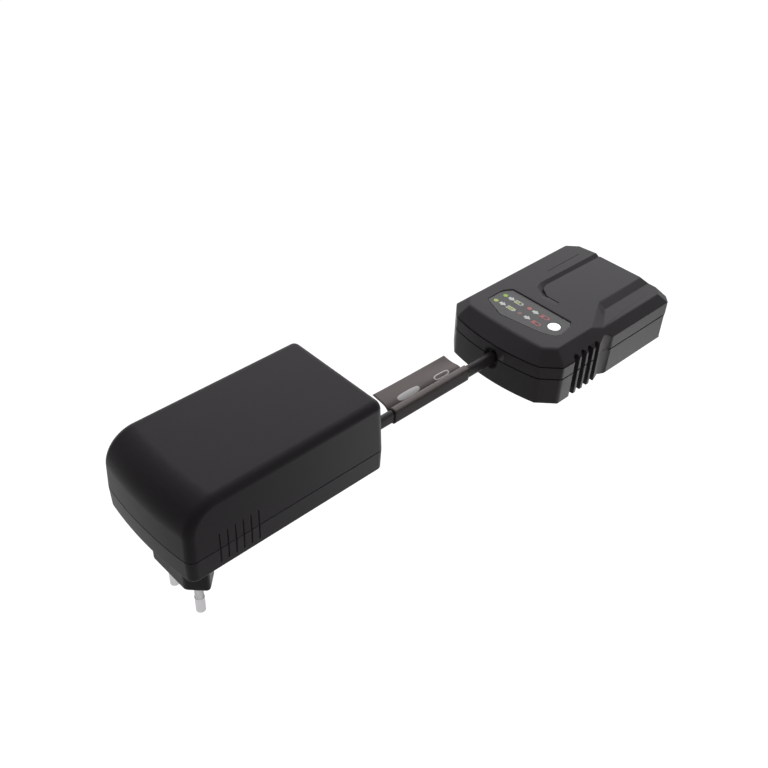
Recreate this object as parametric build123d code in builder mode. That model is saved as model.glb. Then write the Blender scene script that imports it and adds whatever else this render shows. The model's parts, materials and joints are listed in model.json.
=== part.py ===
from build123d import *
import os
from math import cos, radians, sin, tan

os.makedirs("parts", exist_ok=True)

# Battery charger: a plug-in mains adapter, its flat low-voltage lead and the head that slides on the battery.
# Millimetres. The origin lies between the two pins on the plug's engagement face. +X runs from the adapter
# to the head, +Y is to the left and +Z is up, away from the socket.

# Clearances
slip_gap = 0.1          # round a piece that slides into its seat
tight_gap = 0.03        # round a piece that is pushed into its seat

# Plug
pin_radius = 2.0
pin_length = 19.0
pin_spacing = 18.0
pin_tip_radius = 1.2
pin_core_radius = 1.5
pin_collar_radius = 2.6
pin_collar_height = 1.4
pin_tail_radius = 1.0
pin_tail_length = 3.0
sleeve_radius = 1.8
sleeve_length = 10.0
boss_width = 35.3
boss_depth = 13.7
boss_corner_radius = 3.0
boss_point_radius = 1.8
boss_face_radius = 1.1
boss_wall = 1.8
carrier_height = 10.0

# Adapter case
case_bottom = 22.5
seam_z = 32.5
case_top = 56.8
case_front = -14.8      # the apex of the bowed front
case_far = 79.4
case_half_width = 27.6
front_bow = 2.1
case_wall = 2.2
top_draft_inset = 0.85
bottom_draft_inset = 0.3
front_top_radius = 14.0
case_edge_radius = 3.8
case_far_radius = 3.0
case_bottom_radius = 1.0
case_inner_radius = 0.8
seam_chamfer = 0.35
tongue_height = 1.6
tongue_thickness = 1.0

# Grip grooves, on both sides of the adapter
groove_count = 6
groove_pitch = 3.44
groove_first_x = 0.1
groove_width = 0.7
groove_depth = 0.5
groove_low = 25.6
groove_high = 40.1

# Lead: a flat twin on edge, straight from the adapter to the head
lead_inset = 10.9       # from the right-hand side of the adapter to the lead
lead_y = lead_inset - case_half_width
lead_z = 34.6
core_radius = 1.55
lead_height = 4 * core_radius
lead_tail = 8.0         # how far it runs inside each case
label_start = 93.5
label_length = 42.0
label_flag = 11.8       # how far the flag stands out from the lead's middle
label_film = 0.3
wire_radius = 0.8
wire_bend = 1.5
wire_drop = 5.0         # from the lead's end to the middle of the two drops
wire_drop_offset = 2.0
mains_wire_radius = 1.0
mains_wire_inset = 2.5

# Grommet in the adapter's far wall
grommet_neck_half_width = 3.0
grommet_neck_half_height = 4.6
grommet_flange = 1.4
grommet_flange_length = 2.4
grommet_corner = 1.2

# Head case, whose plan is measured from its front face and from the lead's line
head_front = 153.1
head_length = 89.8
head_bottom = 22.1
parting_z = 35.6
belt_z = 42.4
head_top = 48.5
head_half_width = 31.5
head_front_bow = 3.0
head_front_corner = 7.4
head_far_corner = 3.6
head_wall = 2.2
head_draft = 0.7
head_bottom_chamfer = 0.5
parting_gap = 0.5       # the shadow line between the head's halves
parting_gap_depth = 0.7
belt_groove_width = 0.6         # the line under the front bevel, as far as the finger slots
belt_groove_depth = 0.5
bevel_front = 7.4
bevel_side = 5.9
bevel_far = 4.5
roof_front_bow = 1.0
roof_front_corner = 4.5
roof_far_corner = 4.8
step_z = 46.5           # the lower panel behind the right-hand bevel, whose insets run from that side
step_front = 41.8
step_front_inset = 4.3
step_bend = 53.7
step_inset = 12.3
step_bevel_front = 35.2
step_bevel_front_inset = 5.8
step_bevel_inset = 16.1

# Finger slots and waist, on the right-hand side of the head
slot_count = 4
slot_first = 19.7
slot_pitch = 4.7
slot_width = 3.1
slot_depth = 3.2
slot_top = 44.1
slot_backing = 2.2
waist_front = 34.8
waist_bottom = 40.6
waist_back = 44.6
waist_depth = 2.1

# Roof groove and indicator panel of the head
roof_groove = [(46.0, 10.8), (42.0, 9.4), (38.0, 3.6), (38.0, -4.0)]
roof_groove_far_v = 10.0
roof_groove_width = 2.9
roof_groove_depth = 1.4
panel_front = 12.4
panel_tilt = 3.0
panel_corners = [
    (0.0, 7.6),
    (4.4, 18.2),
    (5.1, 19.1),
    (13.7, 19.3),
    (16.0, 18.9),
    (19.4, 16.8),
    (19.4, -16.8),
    (16.6, -18.5),
    (9.3, -20.0),
    (5.8, -18.9),
    (3.1, -12.8),
]
overlay_film = 0.25
lens_u = 23.8
lens_v = -14.0
lens_radius = 3.0
lens_flange_radius = 4.0
lens_flange = 1.0
lens_proud = 0.15
lens_edge_radius = 0.3

# Battery slot on the underside of the head
dock_front = 20.0
dock_half_width = 20.0
dock_ceiling = 32.5
dock_wall = 2.0
rail_width = 3.0
rail_height = 2.6

# Contacts
blade_count = 4
blade_pitch = 8.0
blade_thickness = 0.8
blade_height = 5.0
blade_low = 26.5
blade_reach = 14.0      # how far a blade stands out into the slot
blade_tip_chamfer = 1.2
blade_tail_u = 9.4
blade_tail_width = 1.4
carrier_front = 11.0
carrier_half_width = 16.0
carrier_cap = 0.5       # what covers the blades in the carrier

# Gland in the head's front wall
gland_width = 5.6
gland_height = 8.8
gland_flare = 1.2
gland_flare_depth = 1.9
gland_flange = 1.2
head_wire_bend = 1.0
head_wire_rise = 6.0    # from the lead's end to the middle of the two rises
head_wire_offset = 1.6

# Circuit boards
board_thickness = 1.6
board_corner_radius = 1.5
peg_radius = 1.2
post_radius = 2.6
adapter_board_bottom = 29.5
adapter_board_front = 9.0
adapter_board_far = 71.0
adapter_board_margin = 3.6      # from a long edge of the board to the outside of the case
adapter_board_half_width = case_half_width - adapter_board_margin
adapter_peg_x = (13.0, 67.5)
peg_margin = 2.5
adapter_peg_y = adapter_board_half_width - peg_margin
head_board_bottom = 38.5
head_board_front = 9.0
head_board_far = 78.0
head_peg_u = (32.0, 72.0)

# On the adapter's board: the middle of each piece in x and y, and its sizes. A margin runs from a long edge
# of the board, and an inset from its middle line.
leg_radius = 0.4
leg_pitch = 2.54
disc_leg_pitch = 5.0
fuse_margin = 2.3
fuse_radius = 4.2
fuse_spot = (19.5, adapter_board_half_width - fuse_margin - fuse_radius)
fuse_height = 8.0
fuse_lift = 0.6
varistor_spot = (18.0, 1.5)
varistor_radius = 5.0
varistor_thickness = 4.2
varistor_lift = 1.6
y_capacitor_spot = (26.2, 0.0)
y_capacitor_radius = 4.0
y_capacitor_thickness = 3.4
y_capacitor_lift = 1.4
x_capacitor_margin = 1.05
x_capacitor_inset = 5.45
x_capacitor_run = adapter_board_half_width - x_capacitor_margin - x_capacitor_inset
x_capacitor_size = (8.5, x_capacitor_run, 14.5)
x_capacitor_spot = (18.6, -x_capacitor_inset - x_capacitor_run / 2)
x_capacitor_radius = 0.8
choke_x = 35.0
choke_margin = 0.8
choke_outer_radius = 9.0
choke_inner_radius = 5.0
choke_height = 7.0
choke_edge_radius = 0.8
winding_thickness = 1.2
winding_angle = 130.0
choke_reach = choke_outer_radius + winding_thickness
choke_y = choke_margin + choke_reach - adapter_board_half_width
bridge_margin = 2.55
bridge_inset = 6.95
bridge_run = adapter_board_half_width - bridge_margin - bridge_inset
bridge_spot = (27.8, bridge_inset + bridge_run / 2)
bridge_size = (4.4, bridge_run, 10.5)
bridge_lift = 2.0
bridge_chamfer = 1.5
bridge_leg_pitch = 3.6
can_neck_height = 1.8
can_neck_depth = 0.5
can_score_width = 0.5
can_score_depth = 0.3
bulk_margin = 2.6
bulk_inset = 5.4
bulk_radius = (adapter_board_half_width - bulk_margin - bulk_inset) / 2
bulk_spot = (40.6, bulk_inset + bulk_radius)
bulk_height = 20.5
output_margin_1 = 4.8
output_radius_1 = 5.0
output_spot_1 = (51.0, output_margin_1 + output_radius_1 - adapter_board_half_width)
output_height_1 = 16.0
output_margin_2 = 0.4
output_radius_2 = 4.0
output_spot_2 = (58.8, output_margin_2 + output_radius_2 - adapter_board_half_width)
output_height_2 = 12.0
sink_x = 57.0
sink_margin = 0.6
sink_thickness = 1.6
sink_y = adapter_board_half_width - sink_margin - sink_thickness / 2
sink_length = 18.0
sink_height = 18.5
sink_lip = 3.2
transistor_offset = 1.0
transistor_size = (10.0, 4.4, 9.0)
transistor_tab = (10.0, 1.3, 4.5)
transistor_lift = 4.0
transformer_left_margin = 7.8
transformer_right_margin = 16.2
transformer_width = 2 * adapter_board_half_width - transformer_left_margin - transformer_right_margin
transformer_spot = (60.0, (transformer_right_margin - transformer_left_margin) / 2)
transformer_length = 17.5
transformer_leg = 4.5
transformer_core_width = 7.9
transformer_centre_leg = 6.3
transformer_height = 19.0
transformer_winding_radius = 2.0
bobbin_foot = 1.5
optocoupler_spot = (46.9, 0.0)
optocoupler_size = (4.6, 5.0, 3.4)
controller_spot = (35.0, (choke_y + choke_reach + bulk_inset) / 2)
controller_size = (5.2, 3.6, 1.6)
chip_lift = 0.3
chip_lead = (0.5, 0.8)
rectifier_margin = 10.8
rectifier_thickness = 4.0
rectifier_spot = (62.0, rectifier_margin + rectifier_thickness / 2 - adapter_board_half_width)
rectifier_size = (9.0, rectifier_thickness, 12.0)
rectifier_lift = 3.0

# On the head's board: the middle of each piece in u and v, then its sizes
led_size = 5.0
led_height = 1.6
led_well_radius = 1.7
led_well_depth = 0.4
charger_spot = (44.0, 2.0)
charger_size = 7.0
charger_height = 1.4
charger_lift = 0.2
charger_lead = (1.0, 0.3)
charger_lead_pitch = 0.8
charger_lead_count = 8
power_transistor_spot = (60.0, -6.0)
power_transistor_size = (6.2, 6.6, 2.3)
power_transistor_chamfer = 0.3
power_transistor_lead = (2.6, 0.8, 0.6)
power_transistor_lead_pitch = 4.6
resistor_spot = (60.0, 3.0)
resistor_size = (6.3, 3.2, 0.7)
inductor_spot = (60.0, 12.2)
inductor_size = 9.0
inductor_corner_radius = 1.6
inductor_height = 4.6
inductor_ring_outer = 3.6
inductor_ring_inner = 2.6
inductor_ring_depth = 0.4
filter_spot = (20.0, 10.0)
filter_foot = 6.6
filter_foot_height = 0.8
filter_radius = 3.1
filter_height = 4.7
filter_edge_radius = 0.4

# Screws of the head, outside the contact carrier and outside the slot's walls
screw_u = (13.6, 80.0)
screw_carrier_gap = 6.4
screw_dock_gap = 3.2
screw_v = (carrier_half_width + screw_carrier_gap, dock_half_width + dock_wall + screw_dock_gap)
screw_radius = 1.45
screw_head_radius = 2.7
screw_head_height = 1.9
screw_head_fillet = 0.6
screw_length = 15.0
screw_seat = 28.5
screw_post_radius = 3.6
board_post_gap = 0.3
head_board_half_width = screw_v[0] - screw_post_radius - board_post_gap
head_peg_margin = 3.5
head_peg_v = head_board_half_width - head_peg_margin
screw_bore_relief = 1.0
drive_length = 3.0
drive_width = 0.7
drive_depth = 1.1

# Worked out
case_floor = case_bottom + case_wall
head_floor = head_bottom + head_wall
adapter_board_top = adapter_board_bottom + board_thickness
head_board_top = head_board_bottom + board_thickness
lead_start = case_far - lead_tail
lead_end = head_front + lead_tail
carrier_top = boss_wall + carrier_height
pin_tail_top = carrier_top + pin_collar_height + pin_tail_length
dock_run = head_length - dock_front
dock_outer_half_width = dock_half_width + dock_wall
dock_outer_ceiling = dock_ceiling + dock_wall
blade_far = dock_front + blade_reach
blade_offsets = [(index - (blade_count - 1) / 2) * blade_pitch for index in range(blade_count)]
screw_spots = [(u, side * v) for u, v in zip(screw_u, screw_v) for side in (1, -1)]
adapter_pegs = [(x, side * adapter_peg_y) for x in adapter_peg_x for side in (1, -1)]
head_pegs = [(u, side * head_peg_v) for u in head_peg_u for side in (1, -1)]
pin_spots = [(0, -pin_spacing / 2, 0), (0, pin_spacing / 2, 0)]

pieces = {}


def head_plane(z):
    """A level plane whose origin is on the head's front face, over the lead."""
    return Plane.XY.offset(z).shift_origin((head_front, lead_y, z))


# ---------------------------------------------------------------- adapter case


def case_outline(inset, rounded):
    """Plan of the adapter case at its seam, shrunk by inset. The front is bowed."""
    half = case_half_width - inset
    front = case_front + inset
    far = case_far - inset
    with BuildLine() as rim:
        bow = ThreePointArc((front + front_bow, -half), (front, 0), (front + front_bow, half))
        Polyline(bow @ 1, (far, half), (far, -half), bow @ 0)
    make_face(rim.edges())
    if rounded:
        fillet(vertices().group_by(Axis.X)[0], max(case_edge_radius - inset, case_inner_radius))
        fillet(vertices().group_by(Axis.X)[-1], max(case_far_radius - inset, case_inner_radius))


def case_upper_form(inset):
    """The deep half of the adapter: drafted sides, and a rounding over the front larger than the others."""
    half = case_half_width - inset
    far = case_far - inset
    with BuildPart() as form:
        with BuildSketch(Plane.XY.offset(seam_z)):
            case_outline(inset, rounded=False)
        with BuildSketch(Plane.XY.offset(case_top - inset)):
            case_outline(inset + top_draft_inset, rounded=False)
        loft(ruled=True)
        roof = form.faces().sort_by(Axis.Z)[-1]
        fillet(roof.edges().sort_by(Axis.X)[0], front_top_radius - inset)
        above = form.edges().filter_by(lambda edge: edge.center().Z > seam_z + 1)
        long_edges = above.filter_by(lambda edge: abs(edge.center().Y) > half - 3)
        long_edges = long_edges.filter_by(lambda edge: edge.center().X < far - 3)
        fillet(long_edges, max(case_edge_radius - inset, case_inner_radius))
        back = form.faces().sort_by(Axis.X)[-1]
        rim = back.edges().filter_by(lambda edge: edge.center().Z > seam_z + 1)
        fillet(rim, max(case_far_radius - inset, case_inner_radius))
    return form.part


def seam_ring(outer_inset, inner_inset, height):
    """A ring that stands on the seam, between two insets of the plan."""
    with BuildPart() as ring:
        with BuildSketch(Plane.XY.offset(seam_z)):
            case_outline(outer_inset, rounded=True)
        extrude(amount=height)
        with BuildSketch(Plane.XY.offset(seam_z)):
            case_outline(inner_inset, rounded=True)
        extrude(amount=height, mode=Mode.SUBTRACT)
    return ring.part


def grip_grooves():
    """The thin upright grooves across the seam, on both sides of the adapter."""
    middle = (groove_low + groove_high) / 2
    with BuildPart() as cutter:
        for side in (-1, 1):
            wall = Plane(origin=(0, side * case_half_width, middle), x_dir=(1, 0, 0), z_dir=(0, side, 0))
            with BuildSketch(wall):
                for groove in range(groove_count):
                    with Locations((groove_first_x + groove * groove_pitch, 0)):
                        SlotOverall(groove_high - groove_low, groove_width, rotation=90)
            extrude(amount=groove_depth, both=True)
    return cutter.part


def grommet_window():
    """The opening in the adapter's far wall, across the seam, that holds the grommet's neck."""
    neck = Plane(origin=(case_far, lead_y, lead_z), x_dir=(0, 1, 0), z_dir=(1, 0, 0))
    with BuildPart() as cutter:
        with BuildSketch(neck):
            RectangleRounded(2 * grommet_neck_half_width, 2 * grommet_neck_half_height, grommet_corner)
        extrude(amount=2 * case_wall, both=True)
    return cutter.part


grooves = grip_grooves()
window = grommet_window()

with BuildPart() as adapter_top_shell:
    add(case_upper_form(0))
    chamfer(adapter_top_shell.faces().sort_by(Axis.Z)[0].outer_wire().edges(), seam_chamfer)
    add(case_upper_form(case_wall), mode=Mode.SUBTRACT)
    add(
        seam_ring(case_wall - tongue_thickness - slip_gap, case_wall + slip_gap, tongue_height + slip_gap),
        mode=Mode.SUBTRACT,
    )
    add(grooves, mode=Mode.SUBTRACT)
    add(window, mode=Mode.SUBTRACT)
pieces["adapter_top_shell"] = adapter_top_shell


def boss_outline(inset):
    """The plug's long hexagon, with its points to the left and right."""
    half_depth = boss_depth / 2 - inset
    point = boss_width / 2 - inset * 2**0.5
    half_flat = point - half_depth
    corners = [(half_depth, half_flat), (0, point), (-half_depth, half_flat)]
    corners += [(-x, -y) for x, y in corners]
    with BuildLine() as rim:
        Polyline(*corners, close=True)
    make_face(rim.edges())
    tips = vertices().group_by(Axis.Y)
    fillet(tips[0] + tips[-1], boss_point_radius)
    flats = vertices().filter_by(lambda corner: abs(abs(corner.X) - half_depth) < tight_gap)
    fillet(flats, boss_corner_radius)


with BuildPart() as adapter_base_shell:
    with BuildSketch(Plane.XY.offset(case_bottom)):
        case_outline(bottom_draft_inset, rounded=True)
    with BuildSketch(Plane.XY.offset(seam_z)):
        case_outline(0, rounded=True)
    loft(ruled=True)
    fillet(adapter_base_shell.faces().sort_by(Axis.Z)[0].edges(), case_bottom_radius)
    with BuildSketch(Plane.XY.offset(case_floor)):
        case_outline(case_wall + bottom_draft_inset, rounded=True)
    with BuildSketch(Plane.XY.offset(seam_z)):
        case_outline(case_wall, rounded=True)
    loft(ruled=True, mode=Mode.SUBTRACT)
    # plug boss
    with BuildSketch():
        boss_outline(0)
    extrude(amount=case_floor)
    fillet(adapter_base_shell.faces().sort_by(Axis.Z)[0].edges(), boss_face_radius)
    with BuildSketch(Plane.XY.offset(boss_wall)):
        boss_outline(boss_wall)
    extrude(amount=case_floor - boss_wall, mode=Mode.SUBTRACT)
    with Locations(*pin_spots):
        Hole(sleeve_radius + tight_gap)
    # board pegs
    with BuildSketch(Plane.XY.offset(case_floor)):
        with Locations(*adapter_pegs):
            Circle(post_radius)
    extrude(amount=adapter_board_bottom - case_floor)
    with BuildSketch(Plane.XY.offset(adapter_board_bottom)):
        with Locations(*adapter_pegs):
            Circle(peg_radius)
    extrude(amount=board_thickness + peg_radius)
    # tongue that enters the upper shell
    add(seam_ring(case_wall - tongue_thickness, case_wall, tongue_height))
    add(grooves, mode=Mode.SUBTRACT)
    add(window, mode=Mode.SUBTRACT)
pieces["adapter_base_shell"] = adapter_base_shell

# ---------------------------------------------------------------- plug

with BuildPart() as pin_carrier:
    with BuildSketch(Plane.XY.offset(boss_wall)):
        boss_outline(boss_wall + slip_gap)
    extrude(amount=carrier_height)
    with Locations(*pin_spots):
        Hole(pin_core_radius + tight_gap)
pieces["pin_carrier"] = pin_carrier

for side, name in ((-1, "right"), (1, "left")):
    axis_plane = Plane(origin=(0, side * pin_spacing / 2, 0), x_dir=(1, 0, 0), z_dir=(0, -1, 0))
    with BuildPart() as plug_pin:
        with BuildSketch(axis_plane):
            with BuildLine():
                Polyline(
                    (0, -pin_length),
                    (pin_radius - pin_tip_radius, -pin_length),
                    (pin_radius, -pin_length + pin_tip_radius),
                    (pin_radius, -sleeve_length),
                    (pin_core_radius, -sleeve_length),
                    (pin_core_radius, carrier_top),
                    (pin_collar_radius, carrier_top),
                    (pin_collar_radius, carrier_top + pin_collar_height),
                    (pin_tail_radius, carrier_top + pin_collar_height),
                    (pin_tail_radius, pin_tail_top),
                    (0, pin_tail_top),
                    close=True,
                )
            make_face()
        revolve(axis=Axis((0, side * pin_spacing / 2, 0), (0, 0, 1)))
        fillet(plug_pin.edges().group_by(Axis.Z)[0], pin_tip_radius / 2)
    pieces[f"plug_pin_{name}"] = plug_pin

    with BuildPart() as pin_sleeve:
        with BuildSketch(Plane.XY.offset(-sleeve_length)):
            with Locations((0, side * pin_spacing / 2)):
                Circle(sleeve_radius)
                Circle(pin_core_radius + tight_gap, mode=Mode.SUBTRACT)
        extrude(amount=sleeve_length + boss_wall)
    pieces[f"pin_sleeve_{name}"] = pin_sleeve

    wire_x = adapter_board_front + mains_wire_inset
    wire_y = side * pin_spacing / 2
    wire_rise = adapter_board_top + 2 * wire_bend
    with BuildPart() as mains_wire:
        with BuildLine() as route:
            FilletPolyline(
                (0, wire_y, pin_tail_top),
                (0, wire_y, wire_rise),
                (wire_x, wire_y, wire_rise),
                (wire_x, wire_y, adapter_board_top),
                radius=wire_bend,
            )
        with BuildSketch(Plane(origin=route.line @ 0, z_dir=route.line % 0)):
            Circle(mains_wire_radius)
        sweep()
    pieces[f"mains_wire_{name}"] = mains_wire

# ---------------------------------------------------------------- adapter's inside

with BuildPart() as adapter_board:
    with BuildSketch(Plane.XY.offset(adapter_board_bottom)):
        with Locations(((adapter_board_front + adapter_board_far) / 2, 0)):
            board_length = adapter_board_far - adapter_board_front
            RectangleRounded(board_length, 2 * adapter_board_half_width, board_corner_radius)
        with Locations(*adapter_pegs):
            Circle(peg_radius + slip_gap, mode=Mode.SUBTRACT)
    extrude(amount=board_thickness)
pieces["adapter_board"] = adapter_board


def on_board(x, y, height=0.0):
    """A level plane over a point of the adapter's board."""
    return Plane(origin=(x, y, adapter_board_top + height))


def legs(spot, points, height):
    """Round wire legs from the board up into a body, at offsets from its middle."""
    with BuildSketch(on_board(*spot)) as feet:
        with Locations(*points):
            Circle(leg_radius)
    extrude(feet.sketch, amount=height)


def disc_part(spot, radius, thickness, lift):
    """A coated disc on two legs, standing with its face along X."""
    with BuildPart() as disc:
        middle = on_board(*spot, lift + radius).origin
        with BuildSketch(Plane(origin=middle, x_dir=(0, 1, 0), z_dir=(1, 0, 0))):
            Circle(radius)
        extrude(amount=thickness / 2, both=True)
        fillet(disc.edges(), thickness / 3)
        legs(spot, [(0, -disc_leg_pitch / 2), (0, disc_leg_pitch / 2)], lift + radius)
    return disc


def can_capacitor(spot, radius, height):
    """An electrolytic can: a rubber foot, a crimped neck and a scored top."""
    neck = radius - can_neck_depth
    with BuildPart() as can:
        with BuildSketch(Plane(origin=on_board(*spot).origin, x_dir=(1, 0, 0), z_dir=(0, -1, 0))):
            with BuildLine():
                Polyline(
                    (0, 0),
                    (neck, 0),
                    (radius, can_neck_depth),
                    (radius, can_neck_height),
                    (neck, can_neck_height + can_neck_depth),
                    (neck, can_neck_height + 2 * can_neck_depth),
                    (radius, can_neck_height + 3 * can_neck_depth),
                    (radius, height - can_neck_depth),
                    (neck, height),
                    (0, height),
                    close=True,
                )
            make_face()
        revolve(axis=Axis((*spot, 0), (0, 0, 1)))
        with BuildSketch(on_board(*spot, height)):
            Rectangle(1.2 * radius, can_score_width)
            Rectangle(can_score_width, 1.2 * radius)
        extrude(amount=-can_score_depth, mode=Mode.SUBTRACT)
    return can


def chip(spot, size, lead_count):
    """A moulded chip with flat leads along its two long sides."""
    length, width, height = size
    lead_width, lead_length = chip_lead
    with BuildPart() as body:
        with BuildSketch(on_board(*spot, chip_lift)):
            Rectangle(length, width)
        extrude(amount=height)
        with BuildSketch(on_board(*spot)):
            with GridLocations(length / lead_count, width + lead_length, lead_count, 2):
                Rectangle(lead_width, lead_length)
        extrude(amount=chip_lift + height / 2)
    return body


with BuildPart() as mains_fuse:
    with BuildSketch(on_board(*fuse_spot, fuse_lift)):
        Circle(fuse_radius)
    extrude(amount=fuse_height)
    fillet(mains_fuse.faces().sort_by(Axis.Z)[-1].edges(), fuse_lift)
    legs(fuse_spot, [(-leg_pitch, 0), (leg_pitch, 0)], fuse_lift)
pieces["mains_fuse"] = mains_fuse

pieces["surge_varistor"] = disc_part(varistor_spot, varistor_radius, varistor_thickness, varistor_lift)
pieces["y_capacitor"] = disc_part(
    y_capacitor_spot, y_capacitor_radius, y_capacitor_thickness, y_capacitor_lift
)

with BuildPart() as x_capacitor:
    with BuildSketch(on_board(*x_capacitor_spot)):
        Rectangle(x_capacitor_size[0], x_capacitor_size[1])
    extrude(amount=x_capacitor_size[2])
    fillet(x_capacitor.faces().sort_by(Axis.Z)[-1].edges(), x_capacitor_radius)
pieces["x_capacitor"] = x_capacitor

choke_mid_z = adapter_board_top + winding_thickness + choke_height / 2


def choke_plane(turn):
    """The upright plane through the ring core's axis, turned about it by an angle in degrees."""
    east, north = cos(radians(turn)), sin(radians(turn))
    return Plane(origin=(choke_x, choke_y, choke_mid_z), x_dir=(east, north, 0), z_dir=(north, -east, 0))


def choke_section(growth, mode=Mode.ADD):
    """Half-section of the ring core, grown all round."""
    width = choke_outer_radius - choke_inner_radius + 2 * growth
    with Locations(((choke_outer_radius + choke_inner_radius) / 2, 0)):
        RectangleRounded(width, choke_height + 2 * growth, choke_edge_radius, mode=mode)


choke_axis = Axis((choke_x, choke_y, 0), (0, 0, 1))
with BuildPart() as choke_core:
    with BuildSketch(choke_plane(0)):
        choke_section(0)
    revolve(axis=choke_axis)
pieces["choke_core"] = choke_core

with BuildPart() as choke_windings:
    for turn in (90 - winding_angle / 2, 270 - winding_angle / 2):
        with BuildSketch(choke_plane(turn)):
            choke_section(winding_thickness)
            choke_section(tight_gap, mode=Mode.SUBTRACT)
        revolve(axis=choke_axis, revolution_arc=winding_angle)
pieces["choke_windings"] = choke_windings

with BuildPart() as bridge_rectifier:
    with BuildSketch(on_board(*bridge_spot, bridge_lift)):
        Rectangle(bridge_size[0], bridge_size[1])
    extrude(amount=bridge_size[2])
    chamfer(bridge_rectifier.faces().sort_by(Axis.Z)[-1].edges().filter_by(Axis.X), bridge_chamfer)
    legs(bridge_spot, [(0, step * bridge_leg_pitch) for step in (-1.5, -0.5, 0.5, 1.5)], bridge_lift)
pieces["bridge_rectifier"] = bridge_rectifier

pieces["bulk_capacitor"] = can_capacitor(bulk_spot, bulk_radius, bulk_height)
pieces["output_capacitor_1"] = can_capacitor(output_spot_1, output_radius_1, output_height_1)
pieces["output_capacitor_2"] = can_capacitor(output_spot_2, output_radius_2, output_height_2)

with BuildPart() as heat_sink:
    with BuildSketch(on_board(sink_x, sink_y)):
        Rectangle(sink_length, sink_thickness)
        with Locations((-sink_length / 2, -sink_thickness / 2 - sink_lip)):
            Rectangle(sink_thickness, sink_thickness + sink_lip, align=(Align.MIN, Align.MIN))
    extrude(amount=sink_height)
pieces["heat_sink"] = heat_sink

transistor_spot = (sink_x + transistor_offset, sink_y - sink_thickness / 2)
with BuildPart() as switching_transistor:
    with BuildSketch(on_board(*transistor_spot, transistor_lift)):
        Rectangle(transistor_size[0], transistor_size[1], align=(Align.CENTER, Align.MAX))
    extrude(amount=transistor_size[2])
    with BuildSketch(on_board(*transistor_spot, transistor_lift + transistor_size[2])):
        Rectangle(transistor_tab[0], transistor_tab[1], align=(Align.CENTER, Align.MAX))
    extrude(amount=transistor_tab[2])
    leg_line = -transistor_size[1] / 2
    legs(transistor_spot, [(step * leg_pitch, leg_line) for step in (-1, 0, 1)], transistor_lift)
pieces["switching_transistor"] = switching_transistor

window_width = transformer_width - 2 * transformer_leg
window_height = transformer_height - 2 * transformer_leg
with BuildPart() as transformer_core:
    with BuildSketch(on_board(*transformer_spot, bobbin_foot)):
        Rectangle(transformer_core_width, transformer_width)
    extrude(amount=transformer_height)
    with BuildSketch(on_board(*transformer_spot, bobbin_foot + transformer_leg)):
        Rectangle(transformer_core_width, window_width)
        Rectangle(transformer_core_width, transformer_centre_leg, mode=Mode.SUBTRACT)
    extrude(amount=window_height, mode=Mode.SUBTRACT)
pieces["transformer_core"] = transformer_core

with BuildPart() as transformer_winding:
    with BuildSketch(on_board(*transformer_spot, bobbin_foot + transformer_leg + tight_gap)):
        RectangleRounded(transformer_length, window_width - 2 * tight_gap, transformer_winding_radius)
        Rectangle(
            transformer_core_width + 2 * tight_gap,
            transformer_centre_leg + 2 * tight_gap,
            mode=Mode.SUBTRACT,
        )
    extrude(amount=window_height - 2 * tight_gap)
pieces["transformer_winding"] = transformer_winding

with BuildPart() as transformer_bobbin:
    with BuildSketch(on_board(*transformer_spot)):
        Rectangle(transformer_length, window_width)
    extrude(amount=bobbin_foot)
    with BuildSketch(on_board(*transformer_spot, bobbin_foot)):
        side_run = (transformer_length - transformer_core_width) / 2 - tight_gap
        with GridLocations(transformer_length - side_run, 0, 2, 1):
            Rectangle(side_run, window_width)
    extrude(amount=transformer_leg)
pieces["transformer_bobbin"] = transformer_bobbin

pieces["optocoupler"] = chip(optocoupler_spot, optocoupler_size, 2)
pieces["controller_chip"] = chip(controller_spot, controller_size, 4)

with BuildPart() as output_rectifier:
    with BuildSketch(on_board(*rectifier_spot, rectifier_lift)):
        Rectangle(rectifier_size[0], rectifier_size[1])
    extrude(amount=rectifier_size[2])
    legs(rectifier_spot, [(-leg_pitch, 0), (leg_pitch, 0)], rectifier_lift)
pieces["output_rectifier"] = output_rectifier

# ---------------------------------------------------------------- lead


def lead_section(growth=0.0):
    """The figure-eight section of the flat twin lead, standing on edge."""
    with Locations((0, -core_radius), (0, core_radius)):
        Circle(core_radius + growth)
    Rectangle(core_radius + growth, 2 * core_radius)


def across(x):
    """A plane across the lead at x, looking along it, with Z up."""
    return Plane(origin=(x, lead_y, lead_z), x_dir=(0, -1, 0), z_dir=(-1, 0, 0))


with BuildPart() as dc_lead:
    with BuildSketch(across(lead_end)):
        lead_section()
    extrude(amount=lead_end - lead_start)
pieces["dc_lead"] = dc_lead

grommet_low = lead_z - grommet_neck_half_height - grommet_flange
grommet_lean = bottom_draft_inset * (seam_z - grommet_low) / (seam_z - case_floor)
grommet_front = case_far - case_wall - grommet_lean - slip_gap - grommet_flange_length
with BuildPart() as adapter_grommet:
    with BuildSketch(across(case_far - 2 * slip_gap)):
        RectangleRounded(
            2 * (grommet_neck_half_width - slip_gap),
            2 * (grommet_neck_half_height - slip_gap),
            grommet_corner,
        )
    extrude(amount=case_far - 2 * slip_gap - grommet_front)
    with BuildSketch(across(grommet_front + grommet_flange_length)):
        Rectangle(
            2 * (grommet_neck_half_width + grommet_flange), 2 * (grommet_neck_half_height + grommet_flange)
        )
    extrude(amount=grommet_flange_length)
    with BuildSketch(across(case_far)):
        lead_section(tight_gap)
    extrude(amount=case_far - grommet_front, mode=Mode.SUBTRACT)
pieces["adapter_grommet"] = adapter_grommet

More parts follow.
